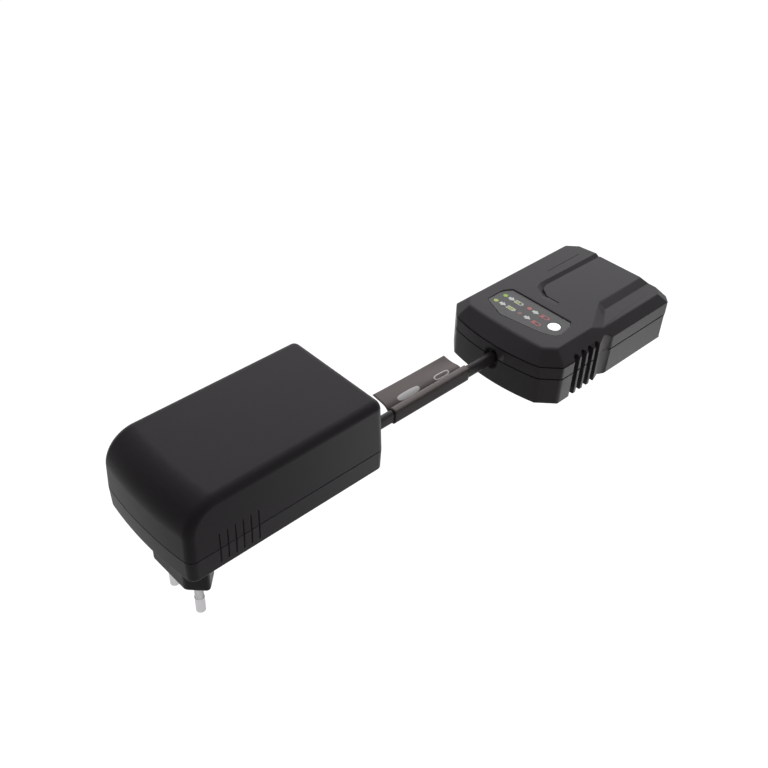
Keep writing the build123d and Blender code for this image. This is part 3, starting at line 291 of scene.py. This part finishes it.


def printed_film():
    """The label's film, with a bare white patch and an empty frame printed near the flag's root, and
    painted shade on the wrap's sides and along the flag's root.
    """
    f = Finish("label_film")
    uneven = f.noise(120.0, detail=3.0)
    along, across, up = (
        f.node("ShaderNodeSeparateXYZ", {}, {"Vector": f.place()}, output=axis)
        for axis in ("X", "Y", "Z")
    )

    def patch(x, y, half_length, half_width):
        """1 inside a rectangle with rounded ends, in millimetres."""
        run = ((along - x * MM) * (1 / (half_length * MM))).math("ABSOLUTE").math("POWER", 3.0)
        rise = ((across - y * MM) * (1 / (half_width * MM))).math("ABSOLUTE").math("POWER", 3.0)
        return 1.0 - (run + rise).above(1.0, 0.3)

    upper = up.above((LEAD_Z + 1.0) * MM, 0.4 * MM)
    empty_frame = patch(*FRAME_OUTSIDE) * (1.0 - patch(*FRAME_INSIDE))
    mark = ((patch(*WHITE_PATCH) + empty_frame) * upper).clamp()
    # painted shade on the wrap round the lead and along the flag's root: near the lead and below a
    # height over it, the film is darker
    near = 1.0 - across.above((LEAD_Y + FLAG_BESIDE) * MM, 1.2 * MM)
    painted_shade = near * (1.0 - up.above((LEAD_Z + WRAP_SHADE_ROOF) * MM, 0.8 * MM))
    flag = f.blend(uneven, (0.225, 0.190, 0.187, 1), (0.260, 0.219, 0.216, 1))
    # the film's colour, and the darker colour of the painted shade
    film = f.blend(painted_shade, flag, (0.085, 0.066, 0.064, 1))
    return f.close(
        Base_Color=f.blend(mark, film, (1.0, 0.98, 0.98, 1)),
        Roughness=0.26 + 0.08 * uneven,
        Specular_IOR_Level=0.12,
        Normal=f.bump(uneven, SKIN_DEPTH, 0.4),
    )


LENS_MIDDLE = (23.8, -14.0, 48.05)
LENS_CLEAR = 2.85       # the radius of the part that glows with painted light, inside a dark rim


def painted_glow_lens():
    """Milky plastic that glows with painted light, so that it comes out white, and a rim that stays
    dark.
    """
    f = Finish("lens_plastic")
    milk = f.noise(700.0, detail=2.0)
    reach = f.node(
        "ShaderNodeVectorMath",
        {"operation": "DISTANCE"},
        {0: f.place(), 1: head_point(*LENS_MIDDLE)},
        output="Value",
    )
    rim = reach.above(LENS_CLEAR * MM, 0.1 * MM)
    body = f.blend(milk, (0.88, 0.89, 0.90, 1), (0.96, 0.96, 0.96, 1))
    return f.close(
        Base_Color=f.blend(rim, body, (0.12, 0.12, 0.12, 1)),
        Roughness=0.22 + 0.05 * milk,
        # painted light: the lens glows inside the rim, with no lamp behind it
        Emission_Color=f.blend(rim, (1, 1, 1, 1), (0, 0, 0, 1)),
        Emission_Strength=0.9,
    )


finishes = {
    name: smooth_finish(name, color, roughness, metallic)
    for name, (color, roughness, metallic) in NODE_FINISH.items()
}
finishes.update(
    adapter_plastic=case_plastic("adapter_plastic", (0.052, 0.047, 0.052)),
    head_plastic=case_plastic("head_plastic", (0.098, 0.092, 0.098)),
    pin_metal=plated_metal("pin_metal", (0.55, 0.54, 0.55), 0.38, (1, 1, 0.05)),
    contact_metal=plated_metal("contact_metal", (0.66, 0.60, 0.46), 0.28, (0.05, 1, 1)),
    sleeve_plastic=smooth_finish("sleeve_plastic", (0.80, 0.79, 0.80), 0.4),
    lead_jacket=smooth_finish(
        "lead_jacket", (0.076, 0.069, 0.074), 0.36, scale=500.0, shine=0.15
    ),
    grommet_rubber=smooth_finish("grommet_rubber", (0.018, 0.017, 0.018), 0.55, shine=0.1),
    overlay_film=smooth_finish(
        "overlay_film", (0.112, 0.109, 0.112), 0.34, scale=900.0, shine=0.15
    ),
    label_film=printed_film(),
    lens_plastic=painted_glow_lens(),
)

for part in frame["record"]["subparts"]:
    mesh = frame["nodes"][part["node"]].data
    mesh.materials.clear()
    mesh.materials.append(finishes[part["material_slot"]])

# ---------------------------------------------------------------- lead


def finish_piece(name, mesh, material, slot, *nodes):
    """Puts a finished mesh in the scene as a piece of the one body."""
    mesh.materials.clear()
    mesh.materials.append(material)
    piece = bpy.data.objects.new(name, mesh)
    bpy.context.scene.collection.objects.link(piece)
    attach(piece, "root")
    if nodes:
        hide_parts(*nodes)
    return piece


def plain_mesh(holder):
    """The mesh that an object's modifiers give, once they are removed."""
    graph = bpy.context.evaluated_depsgraph_get()
    mesh = bpy.data.meshes.new_from_object(holder.evaluated_get(graph))
    bpy.data.objects.remove(holder)
    return mesh


LEAD_ROUTE = [(x, LEAD_Y, LEAD_Z) for x in (71.0, 90.0, 113.0, 140.0, 161.1)]
WEB_HALF = 0.62         # half the width of the web between the cores, in core radii
WEB_REACH = 0.45        # how far it reaches round a core: the sine of the angle from the side


def route_line(points, order):
    """The points along the smooth line through a route."""
    curve = bpy.data.curves.new("route", "CURVE")
    curve.dimensions = "3D"
    spline = curve.splines.new("NURBS")
    spline.points.add(len(points) - 1)
    for point, place in zip(spline.points, points):
        point.co = (*[MM * c for c in place], 1)
    spline.order_u = order
    spline.use_endpoint_u = True
    holder = bpy.data.objects.new("route", curve)
    line = bpy.data.meshes.new_from_object(holder)
    places = [v.co.copy() for v in line.vertices]
    bpy.data.objects.remove(holder)
    bpy.data.meshes.remove(line)
    bpy.data.curves.remove(curve)
    return places


def eight_section(radius, steps):
    """The outline of two round cores side by side, joined by a web, across and up."""
    outline = []
    for step in range(steps):
        angle = 2 * pi * step / steps
        across, up = sin(angle), cos(angle)
        lift = radius if up >= 0 else -radius
        waist = max(abs(across), WEB_HALF) if abs(up) < WEB_REACH else abs(across)
        outline.append((radius * waist * (1 if across >= 0 else -1), lift + radius * up))
    return outline


def sweep(name, line, section):
    """A tube with closed ends: a section in Y and Z carried along a line that runs along X."""
    shape = bmesh.new()
    rings = [
        [shape.verts.new(place + Vector((0, y, z)) * MM) for y, z in section] for place in line
    ]
    for near, far in zip(rings, rings[1:]):
        for index in range(len(section)):
            after = (index + 1) % len(section)
            shape.faces.new((near[index], near[after], far[after], far[index]))
    shape.faces.new(rings[0])
    shape.faces.new(reversed(rings[-1]))
    bmesh.ops.recalc_face_normals(shape, faces=shape.faces)
    mesh = bpy.data.meshes.new(name)
    shape.to_mesh(mesh)
    shape.free()
    mesh.shade_smooth()
    mesh.set_sharp_from_angle(angle=radians(50))
    return mesh


lead_line = route_line(LEAD_ROUTE, 3)
lead = finish_piece(
    "lead_jacket",
    sweep("lead_jacket", lead_line, eight_section(CORE_RADIUS, 64)),
    finishes["lead_jacket"],
    "lead_jacket",
    "dc_lead",
)

# ---------------------------------------------------------------- label

LABEL_START = 93.5
LABEL_END = 135.5
LABEL_SLANT = 1.6       # how much longer the film is at the lead than at its far edge
LABEL_STATIONS = 48
FILM = 0.26
FLAG_ROOT = 2.3
FLAG_EDGE = 11.8
FLAG_SAG = 0.15         # the flag's sag at the adapter's end, in millimetres
FLAG_SAG_MORE = 1.0     # what the sag gains towards the head's end
FLAG_LIFT = 0.5         # how far its corner by the adapter curls up
# the film's middle line, Y and Z from the lead's: the flag's far edge, round the lead, its root
FILM_PATH = [
    (11.8, 3.25),
    (9.4, 3.15),
    (6.6, 2.95),
    (4.4, 2.5),
    (3.0, 1.5),
    (2.1, 0.4),
    (1.85, 1.9),
    (1.5, 3.1),
    (0.5, 3.5),
    (-0.6, 3.5),
    (-1.75, 3.2),
    (-1.85, 1.6),
    (-1.85, -1.6),
    (-1.75, -3.2),
    (0, -3.6),
    (1.75, -3.2),
    (1.85, -1.6),
    (1.9, 0.1),
]


def label_mesh():
    """The film label: wrapped round the lead, with a flag that sags a little and curls at one end."""
    section = route_line([(0, y, z) for y, z in FILM_PATH], 3)
    shape = bmesh.new()
    columns = []
    for station in range(LABEL_STATIONS + 1):
        along = station / LABEL_STATIONS
        column = []
        for point in section:
            y, z = point.y / MM, point.z / MM
            out = max(0.0, (y - FLAG_ROOT) / (FLAG_EDGE - FLAG_ROOT))
            end = LABEL_END + LABEL_SLANT * (1 - out)
            sag = sin(pi * out) * (FLAG_SAG + FLAG_SAG_MORE * along**3)
            lift = FLAG_LIFT * out * (1 - along) ** 3
            x = LABEL_START + (end - LABEL_START) * along
            column.append(shape.verts.new(Vector((x, LEAD_Y + y, LEAD_Z + z - sag + lift)) * MM))
        columns.append(column)
    for near, far in zip(columns, columns[1:]):
        for index in range(len(section) - 1):
            shape.faces.new((near[index], near[index + 1], far[index + 1], far[index]))
    mesh = bpy.data.meshes.new("label")
    shape.to_mesh(mesh)
    shape.free()
    return mesh


def label_piece():
    """The label as a film of its real thickness."""
    mesh = label_mesh()
    mesh.shade_smooth()
    holder = bpy.data.objects.new("label", mesh)
    bpy.context.scene.collection.objects.link(holder)
    solid = holder.modifiers.new("film", "SOLIDIFY")
    solid.thickness = FILM * MM
    solid.offset = 0
    mesh = plain_mesh(holder)
    return finish_piece("label", mesh, finishes["label_film"], "label_film", "lead_label")


label = label_piece()

# ---------------------------------------------------------------- cases

PARTING_Z = 35.6
PARTING_GAP = 0.5
BELT_Z = 42.4
BELT_GROOVE = 0.6
HEAD_SIDE = 31.5
GLAND_HALF = 6.0        # the lead's gland reaches this far to both sides of it
ROOF_FRONT = 12.0       # behind this the roof's edges are no longer those of its front
SLOTS_FRONT = 17.0
SLOTS_FAR = 36.0
SLOTS_DEPTH = 4.0
BASE_FRONT = 12.0       # the lower half's upright corners lie in front of this
BASE_REAR = 84.0        # or behind this
NEAR = 0.1              # an edge this close to a level belongs to it

# how wide edges are rounded over, in millimetres
WIDTH_LIMIT = 2.6
WIDTH_JOINT = 0.1
WIDTH_SHUT = 0.16
WIDTH_SLOT = 0.22
WIDTH_PLAIN = 0.45
WIDTH_CORNER = 0.8
WIDTH_ROOF_FRONT = 1.0
WIDTH_BASE_CORNER = 1.4
SHARP_TURN = radians(24)
UPRIGHT = 0.9           # an edge is upright if its direction's Z is more than this

# the roof groove: its middle line on the head, how deep it is cut and where its floor ends up
ROOF_GROOVE = [(89.8, 10.0), (46.0, 10.8), (42.0, 9.4), (38.0, 3.6), (38.0, -4.0)]
GROOVE_FLOOR = 1.4
GROOVE_DEPTH = 1.8
GROOVE_END = 0.25
GROOVE_OUTSIDE = 0.04
GROOVE_FIRST = 34.0
GROOVE_RIGHT = -8.0
GROOVE_LEFT = 14.0
RAMP_RIGHT = 2.0        # the floor deepens from here
RAMP_RUN = 6.0          # over this width
LEVEL = 0.02            # corners this close to the floor's height belong to it


def welded(node, flat_within=0.6):
    """A copy of a node's mesh: doubles merged, and flats made whole within an angle in degrees."""
    shape = bmesh.new()
    shape.from_mesh(frame["nodes"][node].data)
    bmesh.ops.remove_doubles(shape, verts=shape.verts, dist=0.002 * MM)
    bmesh.ops.dissolve_limit(
        shape,
        angle_limit=radians(flat_within),
        verts=shape.verts,
        edges=shape.edges,
        delimit={"MATERIAL"},
    )
    return shape


def softened(name, shape, width_of, slot, node, flat_from=1e9):
    """A case half whose sharp outer edges are rounded over, each by the width a function gives.

    Faces larger than flat_from, in square millimetres, stay flat.
    """
    weight = shape.edges.layers.float.new("bevel_weight_edge")
    for edge in shape.edges:
        if len(edge.link_faces) == 2 and edge.calc_face_angle() > SHARP_TURN:
            start, end = (vert.co / MM for vert in edge.verts)
            middle = (start + end) / 2
            upright = abs((end - start).normalized().z) > UPRIGHT
            width = width_of(middle.x - HEAD_FRONT, middle.y - LEAD_Y, middle.z, upright)
            if not edge.is_convex:
                width = 0.0
            edge[weight] = width / WIDTH_LIMIT
            edge.smooth = width > 0
    mesh = bpy.data.meshes.new(name)
    shape.to_mesh(mesh)
    shape.free()
    for polygon in mesh.polygons:
        polygon.use_smooth = polygon.area < flat_from * MM * MM
    holder = bpy.data.objects.new(name, mesh)
    bpy.context.scene.collection.objects.link(holder)
    bevel = holder.modifiers.new("bevel", "BEVEL")
    bevel.width = WIDTH_LIMIT * MM
    bevel.segments = 3
    bevel.limit_method = "WEIGHT"
    bevel.use_clamp_overlap = False
    bevel.miter_outer = "MITER_ARC"
    weigh = holder.modifiers.new("weigh", "WEIGHTED_NORMAL")
    weigh.weight = 100
    weigh.keep_sharp = True
    return finish_piece(name, plain_mesh(holder), finishes[slot], slot, node)


def adapter_edge(u, v, z, upright):
    """How wide the adapter's edges are rounded."""
    return WIDTH_SHUT


def head_top_edge(u, v, z, upright):
    """How wide the edges of the head's upper half are rounded."""
    belt_floor = BELT_Z - BELT_GROOVE
    if u < 3 and abs(v) < GLAND_HALF and z < belt_floor - NEAR:
        return 0.0
    beside_groove = u > GROOVE_FIRST and GROOVE_RIGHT < v < GROOVE_LEFT
    if beside_groove and z > HEAD_TOP - GROOVE_DEPTH - NEAR:
        return 0.0
    if z < PARTING_Z + PARTING_GAP + NEAR or belt_floor - NEAR < z < BELT_Z + NEAR:
        return WIDTH_JOINT
    if SLOTS_FRONT < u < SLOTS_FAR and v < SLOTS_DEPTH - HEAD_SIDE:
        return WIDTH_SLOT
    if u < ROOF_FRONT and z > HEAD_TOP - NEAR:
        return WIDTH_ROOF_FRONT
    if u < ROOF_FRONT + 2 and z > PARTING_Z and abs(v) > HEAD_SIDE / 2:
        return WIDTH_CORNER
    return WIDTH_PLAIN


def head_base_edge(u, v, z, upright):
    """How wide the edges of the head's lower half are rounded."""
    if SLOTS_FRONT < u < SLOTS_FAR and v < SLOTS_DEPTH - HEAD_SIDE:
        return WIDTH_SLOT
    corner = abs(v) > 0.7 * HEAD_SIDE and (u < BASE_FRONT or u > BASE_REAR)
    if upright and corner:
        return WIDTH_BASE_CORNER
    return WIDTH_SHUT


def outside_groove(u, v):
    """Whether a point by the roof groove lies on its outer side."""
    best = None
    for start, end in zip(ROOF_GROOVE, ROOF_GROOVE[1:]):
        run = Vector(end) - Vector(start)
        along = max(0.0, min(1.0, (Vector((u, v)) - Vector(start)).dot(run) / run.length_squared))
        foot = Vector(start) + along * run
        away = Vector((u, v)) - foot
        side = run.x * away.y - run.y * away.x
        if best is None or away.length < best[0]:
            best = (away.length, side)
    return best[1] < 0


def groove_floor(shape):
    """The faces of the roof groove's floor, with their edges and corners."""
    level = (HEAD_TOP - GROOVE_FLOOR) * MM
    faces = [
        face
        for face in shape.faces
        if face.calc_center_median().x > (HEAD_FRONT + GROOVE_FIRST) * MM
        and all(abs(vert.co.z - level) < LEVEL * MM for vert in face.verts)
    ]
    edges = {edge for face in faces for edge in face.edges}
    corners = {vert for face in faces for vert in face.verts}
    return [*faces, *edges, *corners]


def ramped(shape):
    """The roof groove as a ramp: its floor rises to the roof on the outer side."""
    cuts = [(head_point(u, 0, 0), (1, 0, 0)) for u in range(42, 90, 4)]
    cuts += [(head_point(0, v, 0), (0, 1, 0)) for v in range(-2, 10, 2)]
    for place, normal in cuts:
        bmesh.ops.bisect_plane(shape, geom=groove_floor(shape), plane_co=place, plane_no=normal)
    for vert in shape.verts:
        x, y, z = vert.co / MM
        if abs(z - HEAD_TOP + GROOVE_FLOOR) < LEVEL and x > HEAD_FRONT + GROOVE_FIRST:
            u, v = x - HEAD_FRONT, y - LEAD_Y
            share = max(0.0, min(1.0, (v - RAMP_RIGHT) / RAMP_RUN))
            deep = GROOVE_END + (GROOVE_DEPTH - GROOVE_END) * share
            vert.co.z = (HEAD_TOP - (GROOVE_OUTSIDE if outside_groove(u, v) else deep)) * MM
    return shape


softened(
    "adapter_top",
    welded("adapter_top_shell"),
    adapter_edge,
    "adapter_plastic",
    "adapter_top_shell",
)
softened(
    "adapter_base",
    welded("adapter_base_shell"),
    adapter_edge,
    "adapter_plastic",
    "adapter_base_shell",
)
softened(
    "head_top",
    ramped(welded("head_top_shell", flat_within=1.6)),
    head_top_edge,
    "head_plastic",
    "head_top_shell",
    flat_from=150,
)
softened(
    "head_base",
    welded("head_base_shell"),
    head_base_edge,
    "head_plastic",
    "head_base_shell",
)

# ---------------------------------------------------------------- indicator panel

PANEL_FRONT = 12.4
RECESS_TILT = radians(3.0)
PANEL_TILT = radians(1.6)
PRINT_HEIGHT = 0.05
DOT_RADIUS = 1.15


def panel_matrix():
    """From the panel's own plane, where X runs back and Z out, to the frame."""
    base = head_point(PANEL_FRONT, 0, HEAD_TOP)
    turned = Matrix.Rotation(PANEL_TILT, 4, "Y")
    return Matrix.Translation(base) @ turned @ Matrix.Translation(Vector((-PANEL_FRONT * MM, 0, 0)))


def prism(shape, outline, low, high):
    """An upright prism over an outline, both in millimetres."""
    floor = [shape.verts.new(Vector((x, y, low)) * MM) for x, y in outline]
    roof = [shape.verts.new(Vector((x, y, high)) * MM) for x, y in outline]
    shape.faces.new(roof)
    shape.faces.new(reversed(floor))
    for index in range(len(outline)):
        after = (index + 1) % len(outline)
        shape.faces.new((floor[index], floor[after], roof[after], roof[index]))


def stamp(name, outlines):
    """A flat mark of one or more outlines, as an object that isn't in the scene."""
    shape = bmesh.new()
    for outline in outlines:
        prism(shape, outline, -PRINT_HEIGHT, PRINT_HEIGHT)
    bmesh.ops.recalc_face_normals(shape, faces=shape.faces)
    mesh = bpy.data.meshes.new(name)
    shape.to_mesh(mesh)
    shape.free()
    return bpy.data.objects.new(name, mesh)


def bar(x, y, width, height):
    """A rectangle from its middle and sizes."""
    return [
        (x - width / 2, y - height / 2),
        (x + width / 2, y - height / 2),
        (x + width / 2, y + height / 2),
        (x - width / 2, y + height / 2),
    ]


def disc(radius, steps=28):
    """A circle's outline."""
    angles = [2 * pi * step / steps for step in range(steps)]
    return [(radius * cos(angle), radius * sin(angle)) for angle in angles]


def stamping_tree():
    """Geometry nodes that set one stamp on each point of a mesh."""
    tree = bpy.data.node_groups.new("stamp_on_points", "GeometryNodeTree")
    face = tree.interface
    face.new_socket("Points", in_out="INPUT", socket_type="NodeSocketGeometry")
    face.new_socket("Stamp", in_out="INPUT", socket_type="NodeSocketObject")
    face.new_socket("Finish", in_out="INPUT", socket_type="NodeSocketMaterial")
    face.new_socket("Geometry", in_out="OUTPUT", socket_type="NodeSocketGeometry")
    given = tree.nodes.new("NodeGroupInput")
    source = tree.nodes.new("GeometryNodeObjectInfo")
    place = tree.nodes.new("GeometryNodeInstanceOnPoints")
    real = tree.nodes.new("GeometryNodeRealizeInstances")
    paint = tree.nodes.new("GeometryNodeSetMaterial")
    made = tree.nodes.new("NodeGroupOutput")
    for start, end in (
        (given.outputs["Points"], place.inputs["Points"]),
        (given.outputs["Stamp"], source.inputs["Object"]),
        (source.outputs["Geometry"], place.inputs["Instance"]),
        (place.outputs["Instances"], real.inputs["Geometry"]),
        (real.outputs["Geometry"], paint.inputs["Geometry"]),
        (given.outputs["Finish"], paint.inputs["Material"]),
        (paint.outputs["Geometry"], made.inputs["Geometry"]),
    ):
        tree.links.new(start, end)
    return tree


STAMPING = stamping_tree()


def stamped(name, mark, points, matrix, material, slot):
    """A piece made of one mark on each point of a plane that the matrix places."""
    mesh = bpy.data.meshes.new(name)
    mesh.from_pydata([Vector((x, y, 0)) * MM for x, y in points], [], [])
    holder = bpy.data.objects.new(name, mesh)
    bpy.context.scene.collection.objects.link(holder)
    nodes = holder.modifiers.new("stamps", "NODES")
    nodes.node_group = STAMPING
    values = {"Stamp": mark, "Finish": material}
    for socket in STAMPING.interface.items_tree:
        if socket.in_out == "INPUT" and socket.name in values:
            nodes[socket.identifier] = values[socket.name]
    result = plain_mesh(holder)
    result.transform(matrix)
    return finish_piece(name, result, material, slot)


def panel_film():
    """The film over the panel, which lies a little flatter than the recess that it is glued in."""
    mesh = frame["nodes"]["indicator_overlay"].data.copy()
    rise = tan(RECESS_TILT) - tan(PANEL_TILT)
    for vert in mesh.vertices:
        vert.co.z += rise * (vert.co.x - (HEAD_FRONT + PANEL_FRONT) * MM)
    film = finishes["overlay_film"]
    finish_piece("panel_film", mesh, film, "overlay_film", "indicator_overlay")


panel_film()
PANEL = panel_matrix()
ROOF = Matrix.Translation(head_point(0, 0, HEAD_TOP))
dot = stamp("dot", [disc(DOT_RADIUS)])
arrow = stamp(
    "arrow",
    [[(-0.8, 1.7), (-0.8, 0.4), (-1.55, 0.4), (0, -1.8), (1.55, 0.4), (0.8, 0.4), (0.8, 1.7)]],
)
cell = stamp(
    "cell",
    [
        bar(-1.0, 0, 0.4, 3.8),
        bar(1.0, 0, 0.4, 3.8),
        bar(0, 1.9, 2.4, 0.4),
        bar(0, -1.9, 2.4, 0.4),
        bar(0, -2.3, 1.0, 0.5),
    ],
)
charge = [bar(0, y, 1.4, 0.9) for y in (1.1, 0, -1.1)]
charge_full = stamp("charge_full", charge)
charge_half = stamp("charge_half", charge[:2])
charge_low = stamp("charge_low", charge[:1])
# a thin strip for a painted shadow line on the roof
roof_line = stamp("roof_line", [bar(0, 0, 23.0, 0.3)])

ARROWS = [(25.7, 12.2), (19.6, 12.2), (25.8, -1.8), (19.7, -2.1)]
CELLS_GOOD = [(25.7, 8.1), (19.6, 7.5)]
CELLS_BAD = [(25.9, -6.9), (19.4, -7.3)]

# each print on the panel: its piece, its mark, where it stands and its finish
LEGEND = [
    ("legend_green", dot, [(25.7, 15.9)], print_green),
    ("legend_yellow", dot, [(19.4, 16.0)], print_yellow),
    ("legend_red", dot, [(26.1, 2.0)], print_red),
    ("legend_dim", dot, [(19.8, 2.3)], print_dim),
    ("legend_arrows", arrow, ARROWS, print_white),
    ("legend_cells_good", cell, CELLS_GOOD, print_white),
    ("legend_cells_bad", cell, CELLS_BAD, print_red),
    ("legend_charge_half", charge_half, CELLS_GOOD[:1], print_yellow),
    ("legend_charge_full", charge_full, CELLS_GOOD[1:], print_yellow),
    ("legend_charge_bad", charge_low, CELLS_BAD, print_red),
]
for name, mark, points, ink in LEGEND:
    stamped(name, mark, points, PANEL, ink, "overlay_film")
# painted shadow: a thin dark strip laid on the roof in the head_shadow finish
stamped("roof_line", roof_line, [(67.5, 16.5)], ROOF, head_shadow, "head_plastic")

# ---------------------------------------------------------------- studio

FLOOR_Z = -0.25         # in metres
FLOOR_GLOW = 1.25
GLOW_SHARE = 0.8        # the rest of the floor takes light, and so keeps the shadow
AMBIENT = 0.055
OVER_CASES = (110, 0, 40)


def studio_floor():
    """A pale floor that is white to the camera and keeps a faint shadow."""
    f = Finish("studio_floor")
    camera, glossy, through = (
        f.node("ShaderNodeLightPath", output=ray)
        for ray in ("Is Camera Ray", "Is Glossy Ray", "Is Transmission Ray")
    )
    seen = (camera + glossy + through).clamp()
    lit = f.node("ShaderNodeBsdfDiffuse", {}, {"Color": (0.85, 0.85, 0.85, 1)})
    glow = f.node("ShaderNodeEmission", {}, {"Color": (1, 1, 1, 1), "Strength": FLOOR_GLOW})
    both = f.node("ShaderNodeMixShader", {}, {"Fac": GLOW_SHARE * seen, 1: lit, 2: glow})
    f.node("ShaderNodeOutputMaterial", {}, {"Surface": both})
    shape = bmesh.new()
    bmesh.ops.create_grid(shape, x_segments=1, y_segments=1, size=6.0)
    mesh = bpy.data.meshes.new("floor")
    shape.to_mesh(mesh)
    shape.free()
    mesh.materials.append(f.material)
    floor = bpy.data.objects.new("floor", mesh)
    floor.location = (0.1, 0, FLOOR_Z)
    bpy.context.scene.collection.objects.link(floor)


def studio_world():
    """White behind the object, also in reflections, and a plain low level of light all round."""
    world = bpy.data.worlds.new("studio")
    bpy.context.scene.world = world
    world.use_nodes = True
    tree = world.node_tree
    tree.nodes.clear()
    path = tree.nodes.new("ShaderNodeLightPath")
    seen = path.outputs["Is Camera Ray"]
    for ray in ("Is Glossy Ray", "Is Transmission Ray"):
        most = tree.nodes.new("ShaderNodeMath")
        most.operation = "MAXIMUM"
        tree.links.new(seen, most.inputs[0])
        tree.links.new(path.outputs[ray], most.inputs[1])
        seen = most.outputs[0]
    strength = tree.nodes.new("ShaderNodeMapRange")
    strength.inputs["To Min"].default_value = AMBIENT
    strength.inputs["To Max"].default_value = 1.0
    tree.links.new(seen, strength.inputs["Value"])
    back = tree.nodes.new("ShaderNodeBackground")
    back.inputs["Color"].default_value = (1, 1, 1, 1)
    tree.links.new(strength.outputs[0], back.inputs["Strength"])
    out = tree.nodes.new("ShaderNodeOutputWorld")
    tree.links.new(back.outputs[0], out.inputs["Surface"])


def soft_box(name, target, toward, distance, size, power):
    """A rectangular area light that faces a target point, hidden from the camera.

    The target is in millimetres; the distance from it and the size are in metres.
    """
    data = bpy.data.lights.new(name, "AREA")
    data.shape = "RECTANGLE"
    data.size, data.size_y = size
    data.energy = power
    lamp = bpy.data.objects.new(name, data)
    away = Vector(toward).normalized()
    lamp.location = Vector(target) * MM + away * distance
    lamp.rotation_euler = away.to_track_quat("Z", "Y").to_euler()
    lamp.visible_camera = False
    bpy.context.scene.collection.objects.link(lamp)
    return lamp


def light_only(lamp, objects):
    """Keeps a card's light to a few objects."""
    chosen = bpy.data.collections.new(lamp.name + "_receivers")
    for lit in objects:
        chosen.objects.link(lit)
    lamp.light_linking.receiver_collection = chosen


studio_floor()
studio_world()
soft_box(
    "back_box",
    OVER_CASES,
    toward=(0.62, 0.47, 0.68),
    distance=0.9,
    size=(1.1, 0.9),
    power=5.9,
)
soft_box(
    "top_box",
    OVER_CASES,
    toward=(-0.1, 0.0, 1.0),
    distance=1.1,
    size=(0.9, 0.9),
    power=0.8,
)
soft_box(
    "left_card",
    (0, 0, 30),
    toward=(-0.75, 0.45, -0.45),
    distance=0.45,
    size=(0.4, 0.4),
    power=0.045,
)
right_card = soft_box(
    "right_card",
    (215, -45, 32),
    toward=(0.5, -0.62, -0.75),
    distance=0.3,
    size=(0.25, 0.2),
    power=0.40,
)
plug_card = soft_box(
    "plug_card",
    (0, 0, -8),
    toward=(-0.55, -0.75, 0.35),
    distance=0.15,
    size=(0.12, 0.1),
    power=0.1,
)

cases = ("adapter_top", "adapter_base", "head_top", "head_base")
light_only(right_card, [bpy.data.objects[name] for name in cases])
plug_nodes = ("plug_pin_left", "plug_pin_right", "pin_sleeve_left", "pin_sleeve_right")
light_only(plug_card, [frame["nodes"][node] for node in plug_nodes])

bpy.context.scene.view_settings.view_transform = "Standard"
